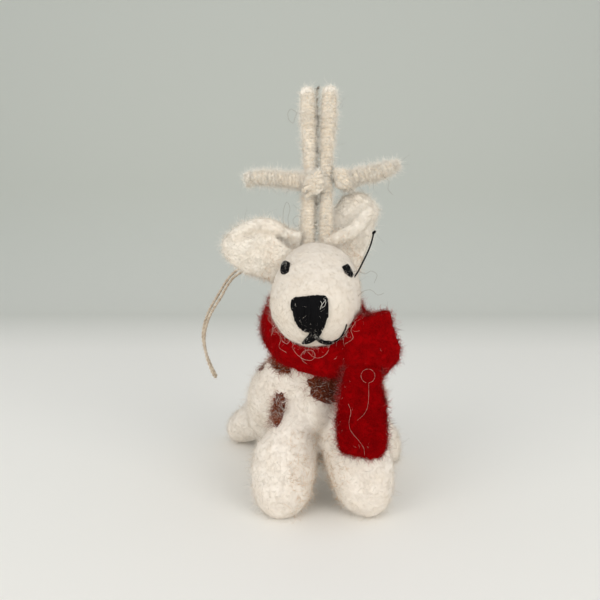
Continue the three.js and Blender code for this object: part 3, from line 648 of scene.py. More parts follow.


# The second colour of each wool is painted shade for the hollows between its matted fibres.
cream = (248, 242, 232)
cream_hollow_shade = (220, 204, 182)
cream_blotch = (240, 227, 208)
wool = wool_material("wool", cream, cream_hollow_shade, cream_blotch, depth=0.4, bump=0.08)
# The loose fibres are painted a little lighter than the skins they grow from: painted light against the shade
# that they cast on one another.
wool_fibre = fibre_material("wool_fibre", (254, 248, 236), cream, cream_blotch, depth=0.3)
body_wool = wool_material("body_wool", (240, 232, 221), cream_hollow_shade, (234, 221, 203), depth=0.3, bump=0.05)
body_fibre = fibre_material("body_fibre", (248, 241, 231), (236, 225, 210), (238, 226, 209), depth=0.3)
# The head's wool and fibres are painted darker than the same wool on the ears and body: painted shade against
# the light that falls more fully on the head.
shaded_head_wool = wool_material("shaded_head_wool", (227, 218, 205), (204, 188, 168), (219, 204, 184), depth=0.3)
shaded_head_fibre = fibre_material("shaded_head_fibre", (231, 222, 209), (217, 204, 187), (221, 207, 188), depth=0.3)
yarn = wool_material("yarn", (248, 237, 220), (208, 187, 158), cream_blotch, fibres=2200.0, depth=0.5)
brown = wool_material(
    "brown_wool", (116, 46, 26), (58, 20, 10), (134, 68, 42), fibres=1800.0, depth=0.8, sheen=0.0
)
brown_fibre = fibre_material("brown_fibre", (164, 84, 52), (98, 40, 22), (188, 118, 78), sheen=0.0)
red_felt = wool_material(
    "red_felt",
    (162, 0, 5),
    (92, 0, 2),
    (134, 0, 4),
    fibres=1700.0,
    depth=0.7,
    gloss=0.03,
    sheen=0.08,
    sheen_tint=(1.0, 0.12, 0.1, 1.0),
)
red_fibre = fibre_material("red_fibre", (182, 4, 9), (104, 0, 4), (140, 0, 6), gloss=0.03, sheen=0.0)
dark_red_fibre = fibre_material("dark_red_fibre", (104, 14, 14), (64, 6, 8), (140, 50, 44), sheen=0.0)
pink_fibre = fibre_material("pink_fibre", (188, 58, 52), (130, 22, 20), (212, 122, 110))
stray_fibre = fibre_material("stray_fibre", (226, 196, 178), (186, 140, 124), (238, 222, 206))
# The shade fibres are painted shade: they darken the rims of the skins and the right antler stem.
shade_fibre = fibre_material("shade_fibre", (222, 206, 184), (168, 148, 124), (236, 224, 206))
grey_fibre = fibre_material("grey_fibre", (140, 124, 104), (90, 76, 62), (118, 102, 84))
# The tan fibres are partly real tan hairs and partly painted shade, between the legs and at the ear roots.
tan_and_shade_fibre = fibre_material("tan_and_shade_fibre", (222, 182, 130), (170, 120, 74), (240, 210, 166))
umber_fibre = fibre_material("umber_fibre", (178, 148, 106), (128, 100, 64), (204, 180, 142))
dark_fibre = fibre_material("dark_fibre", (74, 54, 36), (36, 26, 17), (100, 78, 54))
jute = wool_material(
    "jute", (228, 216, 196), (170, 148, 122), (240, 231, 216), fibres=2600.0, depth=0.7, blotches=260.0
)


def make_black_thread():
    """Black embroidery thread: a faint gloss on each strand, with lint on it."""
    material, wiring, shader = new_material("black_thread")
    web = use(
        wiring,
        matted_fibres,
        Colour=paint(11, 10, 12),
        Deep_Colour=paint(2, 2, 3),
        Fibres_per_Metre=3500.0,
        Tangle=0.6,
        Depth=0.8,
    )
    wiring.feed(shader.inputs["Base Color"], web.outputs["Colour"])
    add_relief(wiring, shader, web.outputs["Height"], 0.6, 0.05)
    give(shader, Roughness=0.8, Specular_IOR_Level=0.12)
    return material


def make_wire():
    """Soft drawn wire, with the marks of drawing along it."""
    material, wiring, shader = new_material("wire")
    tone = use(
        wiring,
        soft_blotches,
        Colour=paint(150, 146, 138),
        Blotch_Colour=paint(104, 98, 90),
        Blotches_per_Metre=1400.0,
        Amount=0.6,
    ).outputs["Colour"]
    wiring.feed(shader.inputs["Base Color"], tone)
    give(shader, Metallic=0.9, Roughness=0.42)
    return material


black_thread = make_black_thread()
wire = make_wire()

# Hanging loop of two-ply twine, sewn in at the back of the head

twine_diameter = 0.9
head_from_loop_hinge = np.array([-1.75, -16.2, -4.7])
joints = {joint["name"]: joint for joint in frame["joints"]}
head_middle = np.array(joints["hang_loop_swing"]["pos_m"]) / MM + head_from_loop_hinge

# The route is counted from the middle of the head.
loop_route = [
    [1.1, 15.9, 4.7], [1.1, 16.9, 4.7], [0.5, 18.1, 5], [-1.2, 18.7, 5.5],
    [-7.8, 18.7, 7.1], [-14.8, 18.7, 7.4], [-20.8, 18.7, 6.4], [-24.8, 18.7, 3.8],
    [-28.2, 18.7, -1.6], [-31.8, 18.7, -7.6], [-33.4, 18.7, -13.6], [-32.8, 18.7, -19.6],
    [-31.2, 18.9, -24.6], [-30.6, 19.7, -26.2], [-30.5, 20.7, -26.5], [-30.6, 21.7, -26.2],
    [-31.6, 22.3, -24.6], [-33.6, 22.3, -19.6], [-34.6, 22.3, -13.6], [-33, 22.3, -7.2],
    [-29.4, 22.3, -0.8], [-25.6, 22.3, 4.8], [-21.2, 22.3, 7.8], [-14.8, 22.3, 8.8],
    [-7.8, 22.3, 8.6], [-0.8, 22.2, 6.8], [1.6, 21.2, 5.4], [2.4, 18.9, 4.8],
    [2.4, 17, 4.7], [2.4, 15.9, 4.7],
]
ply_pitch = 2.6


def twisted(path, diameter, pitch, plies=2, sides=7, fullness=0.29):
    """The plies of a twisted cord that lie round one another along a path."""
    ones, twos = frames_along(path)
    along = lengths_along(path)
    offset = diameter * (0.5 - fullness)
    parts = []
    for ply in range(plies):
        turn = 2 * np.pi * (along / pitch + ply / plies)
        way = np.cos(turn)[:, None] * ones + np.sin(turn)[:, None] * twos
        parts.append(tube(path + way * offset, diameter * fullness, sides))
    return gathered(parts)


loop_steps = 420
loop_path = smooth_path(np.array(loop_route) + head_middle, loop_steps)
hang_loop = mesh_piece("hang_loop_twine", *twisted(loop_path, twine_diameter, ply_pitch), jute)
dress(hang_loop, "hang_loop", "twine", "hang_loop")
rng = np.random.default_rng(11)
loop_lint = nap(rng, hang_loop, 1500, 1.0, 0.05, lift=0.5, curl=0.3)
fibre_piece("hang_loop_lint", [loop_lint], jute, "twine", "hang_loop")

# Body: torso, legs and tail are one felted skin with creases where they meet

body_lumps = [(9.0, 0.5), (3.4, 0.18), (1.4, 0.06)]
body_nodes = ["torso", "front_leg_left", "front_leg_right", "hind_leg_left", "hind_leg_right", "tail"]

# The wool is felted together between the front legs, down to the top of their inverted V.
breast_rows = [
    [322, 372, -14.0], [320, 390, -16.0], [318.5, 408, -17.6],
    [318, 420, -18.2], [317.6, 431, -18.0],
]
breast_steps = 16
breast_line = smooth_path(placed(breast_rows), breast_steps)
breast_shares = np.linspace(0, 1, breast_steps)
breast_radii = np.interp(breast_shares, [0, 0.3, 0.7, 0.9, 1], [5.0, 4.6, 3.9, 2.9, 1.4])
body_form = with_solids(body_nodes, tube(breast_line, breast_radii, 20), plump=0.28)
body = moulded("body", *body_form, body_wool, grain=0.45, smoothing=10)
knead(body, body_lumps, 1)
dress(body, "figure", "wool", *body_nodes)

# Head

head_lumps = [(7.0, 0.25), (2.6, 0.12), (1.1, 0.06)]
head = felted("head_felt", ["head"], shaded_head_wool, plump=0.1, grain=0.36, smoothing=10)
knead(head, head_lumps, 7)
dress(head, "figure", "wool", "head")
head_tree = skin_tree(head)
face_middle = np.array([316.0, 300.0])


def on_head(u, v, lift=0.0):
    """The point of the head that a pixel shows, lifted off its skin. A pixel beside it moves in."""
    pixel = np.array([u, v])
    while True:
        spot, normal, _, _ = head_tree.ray_cast(Vector(camera_place) * MM, view_ray(*pixel))
        if spot is not None:
            return np.array(spot) / MM + np.array(normal) * lift
        pixel = pixel + unit(face_middle - pixel) * 0.3


# Ears: firm needle-felted wool, folded over itself into a cone with a front flap and an open side

ear_lumps = [(5.0, 0.4), (2.0, 0.16), (0.9, 0.05)]
ear_wall = 3.0


def folded_leaf(spine, open_way, half_widths, half_depths, flap_reach, rim_turn, rolls, rings=56, sides=84):
    """A wall of felt bent round a spine: up from the open side, round the back and over the front.

    flap_reach says how far the front flap comes back over the front, from 0 to 1, and rim_turn how
    far the open side curls forwards. rolls thickens the edge of the open side and of the flap."""
    shares = 1 - (1 - np.linspace(0, 1, rings)) ** 1.6
    dense = smooth_path(placed(spine))
    spots = np.linspace(0, 1, len(dense))
    places = np.stack([np.interp(shares, spots, dense[:, axis]) for axis in range(3)], 1)
    runs = run_of(places)
    out = unit(open_way - runs * (runs @ open_way)[:, None])
    back = np.cross(runs, out)
    back = back * np.sign(back[:, 1:2])
    stations = np.linspace(0, 1, len(half_widths))
    close = np.sqrt(np.maximum(1 - shares**5, 0))
    wide = np.interp(shares, stations, half_widths) * close
    deep = np.interp(shares, stations, half_depths) * close
    flap = np.interp(shares, np.linspace(0, 1, len(flap_reach)), flap_reach)
    angles = np.linspace(0, 2 * np.pi, sides, endpoint=False)
    along, off = np.cos(angles)[None], np.sin(angles)[None]
    bend = (np.pi * (1 + flap + rim_turn))[:, None] * (along + 1) / 2 - np.pi * rim_turn
    near_edges = [np.exp(-(((along - edge) / 0.2) ** 2)) for edge in (-0.84, 0.84)]
    roll = 1 + rolls[0] * near_edges[0] + rolls[1] * near_edges[1]
    wall = ear_wall / 2 * np.sign(off) * np.abs(off) ** 0.6 * roll * (0.35 + 0.65 * close[:, None])
    cos, sin = np.cos(bend), np.sin(bend)
    facing = unit(np.stack([cos * deep[:, None], sin * wide[:, None]], -1))
    across = wide[:, None] * cos + facing[..., 0] * wall
    away = deep[:, None] * sin + facing[..., 1] * wall
    points = places[:, None] + out[:, None] * across[..., None] + back[:, None] * away[..., None]
    return closed_stack(points, places[0], places[-1])


# Each spine is a row of pixels of the photograph and a depth, from the root to the tip.
ears = {
    "left": {
        "spine": [
            [298, 258, -9.6], [284, 256, -9.4], [268, 251, -9.2],
            [252, 248, -9.0], [237, 247, -8.8], [223, 246, -8.6],
        ],
        "open_way": UP,
        "half_widths": [5.6, 6.1, 6.2, 6.0, 5.2, 4.2],
        "half_depths": [1.9, 2.0, 2.0, 1.9, 1.6, 1.0],
        "flap_reach": [0.60, 0.64, 0.76, 0.88, 0.97, 1.0],
        "rim_turn": 0.14,
        "rolls": (0.3, 0.2),
    },
    "right": {
        "spine": [
            [340, 268, -5.6], [344, 251, -5.0], [349, 232, -4.2],
            [354, 216, -3.8], [360, 204, -3.6], [365, 194, -3.6],
        ],
        "open_way": unit(np.array([-0.92, 0.0, 0.4])),
        "half_widths": [3.8, 4.4, 5.0, 5.3, 5.2, 4.0],
        "half_depths": [1.7, 1.9, 1.7, 1.3, 1.0, 0.8],
        "flap_reach": [0.95, 0.9, 0.66, 0.42, 0.2, 0.0],
        "rim_turn": 0.0,
        "rolls": (0.2, 1.1),
    },
}

# The thick rolled edge of each ear and the wool that fills its fold, by pixels and depths.
ear_edges = {
    "left": {
        "line": [
            [288, 236, -9.6], [276, 229, -10.4], [262, 226, -10.6],
            [247, 230, -10.4], [232, 238, -10.0],
        ],
        "radii": [1.4, 1.9, 2.2, 2.2, 1.8],
        "fillings": [[[279, 260, -8.0], [260, 258, -8.0], [240, 254, -8.2]]],
        "fullness": 2.0,
        "seed": 21,
    },
    "right": {
        "line": [
            [324, 243, -9.2], [336, 239, -9.4], [349, 233, -8.8],
            [361, 222, -7.6], [370, 209, -6.2],
        ],
        "radii": [1.5, 1.9, 2.0, 1.9, 1.5],
        "fillings": [
            [[334, 238, -4.6], [337, 224, -3.8], [343, 210, -3.2], [350, 200, -3.0]],
            [[339, 238, -4.8], [346, 222, -4.0], [353, 206, -3.6], [359, 197, -3.4]],
            [[344, 236, -5.0], [353, 222, -4.4], [360, 209, -4.0], [365, 200, -3.8]],
        ],
        "fullness": 2.2,
        "seed": 27,
    },
}


def make_ear(side, line, radii, fillings, fullness, seed, steps=30):
    """One ear: its folded leaf, the roll along its edge and the wool in its fold, felted into one skin."""
    rolled = np.interp(np.linspace(0, 1, steps), np.linspace(0, 1, len(radii)), radii)
    parts = [folded_leaf(**ears[side]), tube(smooth_path(placed(line), steps), rolled, 16)]
    parts += [tube(smooth_path(placed(filling), 20), fullness, 16) for filling in fillings]
    ear = moulded(f"ear_{side}_felt", *gathered(parts), wool, grain=0.36, smoothing=9)
    knead(ear, ear_lumps, seed)
    dress(ear, "figure", "wool", f"ear_{side}")
    return ear


ear_pieces = {side: make_ear(side, **edge) for side, edge in ear_edges.items()}

# Antlers: soft wire wound closely with thick yarn

winding_pitch = 0.9
winding_thickness = 1.5
winding_steps = 14


def wound(axis, girth, seed):
    """Yarn wound closely round an axis, a little uneven. girth gives its middle's radius from end to end."""
    length = np.linalg.norm(np.diff(axis, axis=0), axis=1).sum()
    turns = int(length / winding_pitch)
    count = turns * winding_steps
    spine = smooth_path(axis, count)
    ones, twos = frames_along(spine, ACROSS)
    share = np.linspace(0, 1, count)
    angle = 2 * np.pi * turns * share

    def uneven(quickness, row):
        return np.array([noise.noise(Vector((s * quickness, seed, row))) for s in share])

    radii = np.interp(share, np.linspace(0, 1, len(girth)), girth) + 0.2 * uneven(26, 0)
    path = spine + (np.cos(angle)[:, None] * ones + np.sin(angle)[:, None] * twos) * radii[:, None]
    path = path + run_of(spine) * uneven(44, 9)[:, None] * 0.35
    return tube(path, winding_thickness / 2 * (1 + 0.2 * uneven(60, 5)), 6)


def middle_line(node, steps=9):
    """The middle of a wound node, from its own box slice by slice."""
    points, _ = points_of(frame["nodes"][node])
    spans = points.max(0) - points.min(0)
    axis = int(np.argmax(spans))
    edges = np.linspace(points[:, axis].min(), points[:, axis].max(), steps + 1)
    middles = []
    for low, high in zip(edges, edges[1:]):
        inside = points[(points[:, axis] >= low) & (points[:, axis] <= high)]
        middles.append((inside.max(0) + inside.min(0)) / 2)
    return np.array(middles)


def make_winding(name, girth, start_reach, end_reach, seed, from_stem=False):
    """The yarn wound on one stem or branch, which reaches a little past its node at both ends."""
    line = middle_line(f"{name}_yarn")
    if from_stem and abs(line[0][0]) > abs(line[-1][0]):
        line = line[::-1]
    start = line[0] - unit(line[1] - line[0]) * start_reach
    end = line[-1] + unit(line[-1] - line[-2]) * end_reach
    winding = mesh_piece(f"{name}_winding", *wound(np.vstack([start, line, end]), girth, seed), yarn)
    return dress(winding, "figure", "yarn", f"{name}_yarn")


# The stems are thinnest halfway up and thickest near the top.
stem_girth = (1.35, 1.3, 1.15, 1.0, 0.85, 0.85, 0.95, 1.15, 1.35, 1.4, 1.15)
branch_girth = (1.15, 1.25, 1.25, 1.3, 1.25, 1.0, 0.3)
windings = {}
for number, side in enumerate(("left", "right")):
    stem, branch = f"antler_{side}", f"branch_{side}"
    windings[stem] = make_winding(stem, stem_girth, 1.0, 1.4, 31 + number)
    windings[branch] = make_winding(branch, branch_girth, 2.0, 1.2, 35 + number, from_stem=True)

tuft_lumps = [(2.0, 0.3), (0.9, 0.14)]
tufts = {}
for name in windings:
    tuft = felted(f"{name}_tuft", [f"{name}_tip"], wool, plump=-0.3, grain=0.28, smoothing=16)
    knead(tuft, tuft_lumps, 41)
    tufts[name] = dress(tuft, "figure", "wool", f"{name}_tip")
    frame["nodes"][f"{name}_wire"].data.materials[0] = wire

# Ties: each branch is bound to its stem with a knob of wool and turns of yarn.

tie_turns = 6
tie_yarn = 1.15
tie_lumps = [(2.4, 0.3), (1.1, 0.15)]
tie_leans = {"left": 0.9, "right": -0.7}


def tie_winding(middle, half_sizes, lean, seed):
    """Turns of yarn round the crossing of a branch and its stem, each at its own lean."""
    rng = np.random.default_rng(seed)
    parts = []
    for height in np.linspace(-0.78, 0.78, tie_turns):
        girth = math.sqrt(1 - height**2)
        angles = np.linspace(0, 2 * np.pi, 26) + rng.uniform(0, 6)
        tilt = lean + rng.uniform(-0.5, 0.5)
        ring = np.stack(
            [
                half_sizes[0] * girth * np.cos(angles),
                half_sizes[1] * girth * np.sin(angles),
                half_sizes[2] * height + tilt * np.cos(angles),
            ],
            -1,
        )
        parts.append(tube(middle + ring, tie_yarn / 2 * rng.uniform(0.85, 1.15), 7))
    return gathered(parts)


ties = {}
for number, (side, lean) in enumerate(tie_leans.items()):
    knob = felted(f"branch_{side}_wrap", [f"branch_{side}_tie"], wool, plump=0.0, grain=0.32, smoothing=6)
    knead(knob, tie_lumps, 51 + number)
    dress(knob, "figure", "wool", f"branch_{side}_tie")
    low, high = (np.array(corner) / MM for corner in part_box(f"branch_{side}_tie"))
    turns = tie_winding((low + high) / 2, (high - low) / 2 - 0.3, lean, 53 + number)
    ties[side] = dress(mesh_piece(f"branch_{side}_wrap_yarn", *turns, yarn), "figure", "yarn")

# Scarf of red felt

scarf_lumps = [(6.0, 0.35), (2.4, 0.2), (1.0, 0.1)]
end_lumps = [(5.0, 0.25), (2.0, 0.16), (0.9, 0.08)]


def felt_cut(outline, depth_at, thickness, fullness=3.2, rings=22, corners=110):
    """A thick cut of felt with rounded edges: its outline in pixels, its middle at a depth by height."""
    edge = pixel_line(outline + outline[:1], corners + 1)[:-1]
    middle = edge.mean(0)
    shares = np.sin(np.linspace(0.08, np.pi / 2, rings))
    shares = np.concatenate([shares, shares[-2::-1]])
    side = np.concatenate([np.full(rings, -1.0), np.full(rings - 1, 1.0)])
    rise = thickness / 2 * np.sqrt(np.maximum(1 - shares**fullness, 0)) * side
    pixels = middle + (edge - middle)[None] * shares[:, None, None]
    depth = depth_at(pixels[..., 1])
    points = at_depth(pixels[..., 0], pixels[..., 1], depth + rise[:, None])
    poles = [at_depth(*middle, depth_at(middle[1]) + way * thickness / 2) for way in (-1, 1)]
    return closed_stack(points, *poles)


# The flat cuts of felt are in metres: the strip round the neck and through the knot, and its hanging end.
knot_outline = [
    [349, 321], [358, 313.5], [366, 316.5], [372, 313], [380, 309.8], [389.6, 311.6],
    [392.4, 325], [396.4, 338], [400.6, 350], [398.6, 360], [391, 367.6], [385, 375],
    [374, 379], [356, 379], [346, 373], [341, 355], [343, 335],
]
knot_depth = -25.3
knot_thickness = 7.2
knot_form = felt_cut(knot_outline, lambda v: np.full_like(v, knot_depth), knot_thickness)
wrap_form = with_solids(["scarf_band"], knot_form)
wrap = moulded("scarf_wrap_felt", *wrap_form, red_felt, grain=0.38, smoothing=5)
knead(wrap, scarf_lumps, 61)

# The band narrows where it goes up round the cheeks.
press(wrap, (258, 300), 17, (1.2, 0.0, 0.2))
press(wrap, (374, 303), 9, (-2.0, 0.0, -1.8))
dress(wrap, "figure", "red_felt", "scarf_band", "scarf_knot")

# The hanging end starts inside the knot.
end_outline = [
    [345, 363], [342, 380], [338.5, 402], [337, 425], [338.4, 443], [342, 451.5], [350, 455], [363, 456.8],
    [376, 458.2], [383.5, 453], [386.6, 441], [386, 420], [384.5, 400], [381.5, 384], [379, 363],
]
end_rows = [360, 376, 390, 460]
end_depths = [-26.4, -28.2, -29.0, -30.0]
end_thickness = 2.7
end_form = felt_cut(end_outline, lambda v: np.interp(v, end_rows, end_depths), end_thickness, fullness=9)
scarf_end = moulded("scarf_end_felt", *end_form, red_felt, grain=0.34, smoothing=3)
knead(scarf_end, end_lumps, 71)
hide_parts("scarf_end")

# Brown patches

body_tree = skin_tree(body)


def laid_patch(outline, seed, rise=0.3, sunk=0.4, rings=14, corners=60, ragged=2.4):
    """A thin patch felted onto the body, with a ragged edge: its outline in pixels."""
    edge = pixel_line(outline + outline[:1], corners + 1)[:-1]
    middle = edge.mean(0)
    turns = np.linspace(0, 2 * np.pi, corners, endpoint=False)
    fray = [noise.noise(Vector((3 * math.cos(t), 3 * math.sin(t), seed))) for t in turns]
    edge = edge + unit(edge - middle) * np.array(fray)[:, None] * ragged
    top, under = [], []
    for share in np.linspace(0.06, 1, rings):
        pixels = middle + (edge - middle) * share
        spots = [on_skin(body_tree, u, v) for u, v in pixels]
        places = np.array([place for place, _ in spots])
        normals = np.array([normal for _, normal in spots])
        top.append(places + normals * rise * math.sqrt(1 - share**4))
        under.append(places - normals * sunk)
    stack = np.stack([*top, *under[::-1]])
    return closed_stack(stack, stack[0].mean(0), stack[-1].mean(0))


patch_outlines = {
    "chest_patch": [
        [308, 379], [322, 374], [341, 377], [345, 388], [343, 399], [333, 403], [322, 402], [311, 394],
    ],
    "collar_patch": [[273, 357], [282, 361], [291, 367], [290, 372], [281, 371.5], [274, 367], [271, 361]],
    "flank_patch": [
        [277, 392.6], [282, 393], [285, 403], [284, 413], [280, 424], [275, 428], [271.8, 420], [272.6, 406],
    ],
    "shoulder_patch": [[260, 356], [264.5, 357], [265.5, 364], [262.5, 370], [257.5, 371], [256.5, 364]],
}
patches = {}
patch_forms = []
for number, (name, outline) in enumerate(patch_outlines.items()):
    patch_forms.append(laid_patch(outline, 81 + number))
    patch = mesh_piece(f"{name}_felt", *patch_forms[-1], brown)
    patches[name] = dress(patch, "figure", "brown_wool", name)
patch_points, patch_faces = gathered(patch_forms)
patch_tree = BVHTree.FromPolygons((patch_points * MM).tolist(), patch_faces.tolist())

# Nose, eyes and mouth: black thread, laid by pixels of the photograph onto the head


def strand(pixels, lift, width, steps=14, ends=0.7):
    """One thread through pixels, lying on the head, with its ends sunk in."""
    share = np.linspace(0, 1, steps)
    lifts = lift * np.minimum(1, np.sin(np.pi * np.clip(share, 0.02, 0.98)) ** 0.35)
    spots = np.array([on_head(u, v, rise) for (u, v), rise in zip(pixel_line(pixels, steps), lifts)])
    radii = width / 2 * np.clip(np.minimum(share, 1 - share) * 12 + ends, 0, 1)
    return tube(spots, radii, 6)


# Each row of the nose: its height in the picture, and where it begins and ends.
nose_rows = [
    [295.4, 315.5, 324.5], [297, 295.5, 326.4], [300, 292.4, 327.4], [305, 292.0, 327.8],
    [311, 293.0, 327.6], [317, 294.5, 326.9], [322, 296.4, 325.5], [327, 299.2, 323.9],
    [330, 302.6, 322.3], [331.4, 305.5, 319.5],
]
nose_strands = 24
nose_margin = 1.1

# Two layers of thread fill the nose: each layer's height over the head, and its shift by threads.
nose_layers = ((0.35, 0.5), (0.95, 0.0))


def nose_edges(u, rows=160):
    """The top and bottom of the nose's outline at a pixel column."""
    table = np.array(nose_rows)
    heights = np.linspace(table[0, 0], table[-1, 0], rows)
    left = np.interp(heights, table[:, 0], table[:, 1])
    right = np.interp(heights, table[:, 0], table[:, 2])
    inside = heights[(left <= u) & (right >= u)]
    return inside.min(), inside.max()


nose_left = min(row[1] for row in nose_rows) + nose_margin
nose_right = max(row[2] for row in nose_rows) - nose_margin
nose_parts = []
rng = np.random.default_rng(91)
for lift, shift in nose_layers:
    for k in range(nose_strands):
        share = (k + shift) / (nose_strands - 1)
        if share > 1:
            continue
        u = nose_left + (nose_right - nose_left) * share
        low, high = nose_edges(u)
        middle = 1 - 0.35 * abs(2 * share - 1) ** 2
        drift = rng.uniform(-0.3, 0.3, 3)
        start = [u, low + rng.uniform(0.1, 0.6)]
        end = [u + drift[1], high - rng.uniform(0.1, 0.8)]
        nose_parts.append(strand([start, [u + drift[0], (low + high) / 2], end], lift * middle, 0.5))
nose = mesh_piece("nose_stitches", *gathered(nose_parts), black_thread)
dress(nose, "figure", "thread", "nose")

# The eyes: points round each outline, from its top, with its pointed foot among them.
eye_outlines = {
    "left": [
        [286.5, 260], [290.6, 263.2], [290.6, 269], [287, 273.6],
        [282.8, 276], [281, 270.5], [281.4, 264],
    ],
    "right": [
        [345.6, 263.4], [350.6, 268.4], [352, 274], [352.4, 279],
        [347.6, 275.2], [343.2, 271.6], [341, 266.6],
    ],
}
eye_lean = {"left": -0.22, "right": 0.42}
eye_strands = 9

# Two layers of thread fill each eye: each layer's height over the head, and its share of the width.
eye_layers = ((0.2, 0.66), (0.46, 0.52))


def make_eye(side):
    """Threads side by side inside the outline of an eye."""
    outline = pixel_line(eye_outlines[side] + eye_outlines[side][:1], 90)
    centre = outline.mean(0)
    lean = np.array([math.sin(eye_lean[side]), math.cos(eye_lean[side])])
    over = np.array([lean[1], -lean[0]])
    along, aside = (outline - centre) @ lean, (outline - centre) @ over
    parts = []
    for lift, inset in eye_layers:
        for place in np.linspace(aside.min(), aside.max(), eye_strands) * inset:
            near = along[np.abs(aside - place) < 0.75]
            start, end = near.min() * 0.8, near.max() * 0.8
            pixels = [centre + over * place + lean * reach for reach in (start, (start + end) / 2, end)]
            parts.append(strand(pixels, lift, 0.44, steps=9))
    eye = mesh_piece(f"eye_{side}_stitches", *gathered(parts), black_thread)
    return dress(eye, "figure", "thread", f"eye_{side}")


eyes = [make_eye(side) for side in eye_outlines]

mouth_threads = [
    [[311.6, 331.0], [313.4, 334.0], [316.0, 337.0], [319.6, 340.2], [325.0, 342.0], [331.6, 341.6]],
    [[321.2, 331.0], [319.6, 333.6], [317.4, 336.2], [319.4, 338.6], [324.0, 340.6], [330.0, 341.2]],
    [[316.2, 331.0], [316.6, 334.6], [318.6, 338.2], [322.4, 341.4], [327.0, 342.6], [332.0, 341.8]],
    [[318.2, 332.0], [317.2, 335.0], [320.6, 338.6], [325.4, 341.4], [330.6, 342.4]],
    [[318.8, 331.0], [317.0, 334.2], [313.2, 337.2], [308.6, 340.4], [302.6, 342.8]],
    [[320.0, 331.5], [318.2, 334.8], [314.6, 338.2], [310.0, 341.0], [305.0, 342.8]],
    [[314.4, 331.0], [313.4, 334.0], [310.4, 336.8], [306.8, 339.6], [303.2, 342.2]],
    [[310.8, 331.6], [309.6, 334.6], [307.2, 337.4], [305.4, 339.4], [304.2, 341.2]],
]
smile_line = [[329.5, 342.0], [334.0, 340.6], [338.8, 338.0], [342.4, 333.6], [345.0, 328.2], [346.4, 324.0]]
mouth_parts = [strand(pixels, 0.36, 0.62, steps=20) for pixels in mouth_threads]
mouth_parts.append(strand(smile_line, 0.18, 0.42, steps=20))
mouth = mesh_piece("mouth_stitches", *gathered(mouth_parts), black_thread)
dress(mouth, "figure", "thread", "mouth")

rng = np.random.default_rng(97)
face_lint = [
    nap(rng, nose, 22, 2.0, 0.05, lift=0.5, curl=0.7, steps=6),
    nap(rng, mouth, 34, 1.6, 0.05, lift=0.5, curl=0.7, steps=6),
]
face_lint += [nap(rng, eye, 26, 1.5, 0.055, lift=0.5, curl=0.9, steps=6) for eye in eyes]

# A forked tuft of pale lint sits at the nose's upper right.
lint_lines = [
    [[325.5, 299], [323, 303], [320.5, 307.5], [318.8, 312]],
    [[319.5, 300.5], [321.5, 304], [322, 309]],
    [[322.6, 298.6], [324.6, 302], [323.4, 306.4], [320.4, 308.6]],
]
face_lint += [strand(pixels, 1.2, 0.06, steps=14) for pixels in lint_lines]
fibre_piece("face_lint", face_lint, wool_fibre)

# The loose end of the eye's thread stands out to the upper right, with a small knot at its tip.
loose_pixels = [
    [354.6, 277.8], [358.6, 270.6], [363.7, 260.4], [367.5, 252.7],
    [371, 243.8], [373.2, 235.4], [374, 232.4],
]
loose_start_y = on_head(*loose_pixels[0])[1]
loose_back_reach = 5
loose_spots = [
    at_depth(u, v, loose_start_y + loose_back_reach * k / (len(loose_pixels) - 1))
    for k, (u, v) in enumerate(loose_pixels)
]
loose_spots[0] = on_head(*loose_pixels[0], -0.4)
loose_path = smooth_path(loose_spots, 60)
knot_turns = 2.2
knot_path = [
    loose_path[-1] + np.array([0.32 * math.cos(a), 0.25 * math.sin(a), 0.3 * math.sin(a + 1.0)])
    for a in np.linspace(0, knot_turns * 2 * math.pi, 40)
]
loose_thread = [twisted(loose_path, 0.48, 1.1), tube(knot_path, 0.2, 6)]
fibre_piece("eye_thread_end", loose_thread, black_thread, "thread")

# A dark thread lies in the gap between the antler stems.
gap_pixels = [
    [317.2, 88], [316.6, 104], [317, 122], [316.6, 140], [316.8, 158], [316.6, 176], [314.6, 200], [314, 232],
]
gap_depths = np.linspace(-1.4, -3.4, len(gap_pixels))
gap_path = smooth_path(at_depth(*np.transpose(gap_pixels), gap_depths), 110)
gap_path += np.random.default_rng(93).normal(0, 0.22, gap_path.shape)
gap_thread = mesh_piece("antler_gap_thread", *tube(smooth_path(gap_path, 500), 0.05, 5), umber_fibre)
dress(gap_thread, "figure", "thread")

# Fibres that stand off the felted skins

rng = np.random.default_rng(101)
middle_x = 1.2
leg_back_y = -4
leg_top_z = 33
rump_front_y = 8
body_regions = {
    "leg_left": lambda x, y, z: (y < leg_back_y) & (x < middle_x) & (z < leg_top_z),
    "leg_right": lambda x, y, z: (y < leg_back_y) & (x >= middle_x) & (z < leg_top_z),
    "chest": lambda x, y, z: (y < rump_front_y) & ((y >= leg_back_y) | (z >= leg_top_z)),
    "rump_left": lambda x, y, z: (y >= rump_front_y) & (x < middle_x),
    "rump_right": lambda x, y, z: (y >= rump_front_y) & (x >= middle_x),
}


def within(region):
    """Keeps the places that lie in a region."""
    return lambda centres, _: region(*centres.T) * 1.0


def beside(tree, reach):
    """Keeps the places that lie within reach of a skin."""

    def keep(centres, _):
        gaps = [tree.find_nearest(Vector(centre) * MM)[3] for centre in centres]
        return (np.array(gaps) < reach * MM) * 1.0

    return keep


def near_heights(*spans):
    """Keeps the places that are seen between the given heights of the picture."""

    def keep(centres, _):
        rows = pixels_of(centres)[:, 1]
        return sum(((rows > low) & (rows < high)) * 1.0 for low, high in spans)

    return keep


def bare(keep):
    """The same places without those under the brown patches."""
    low, high = patch_points.min(0) - 1, patch_points.max(0) + 1

    def kept(centres, normals):
        share = keep(centres, normals)
        near = np.flatnonzero(((centres > low) & (centres < high)).all(1) & (share > 0))
        share[near] *= 1 - beside(patch_tree, 0.12)(centres[near], normals[near])
        return share

    return kept


def at_rim(_, normals, facing=0.45):
    """1 for skin that is seen edge on from the front, 0 for broad sides."""
    return (np.abs(normals[:, 1]) < facing) * 1.0
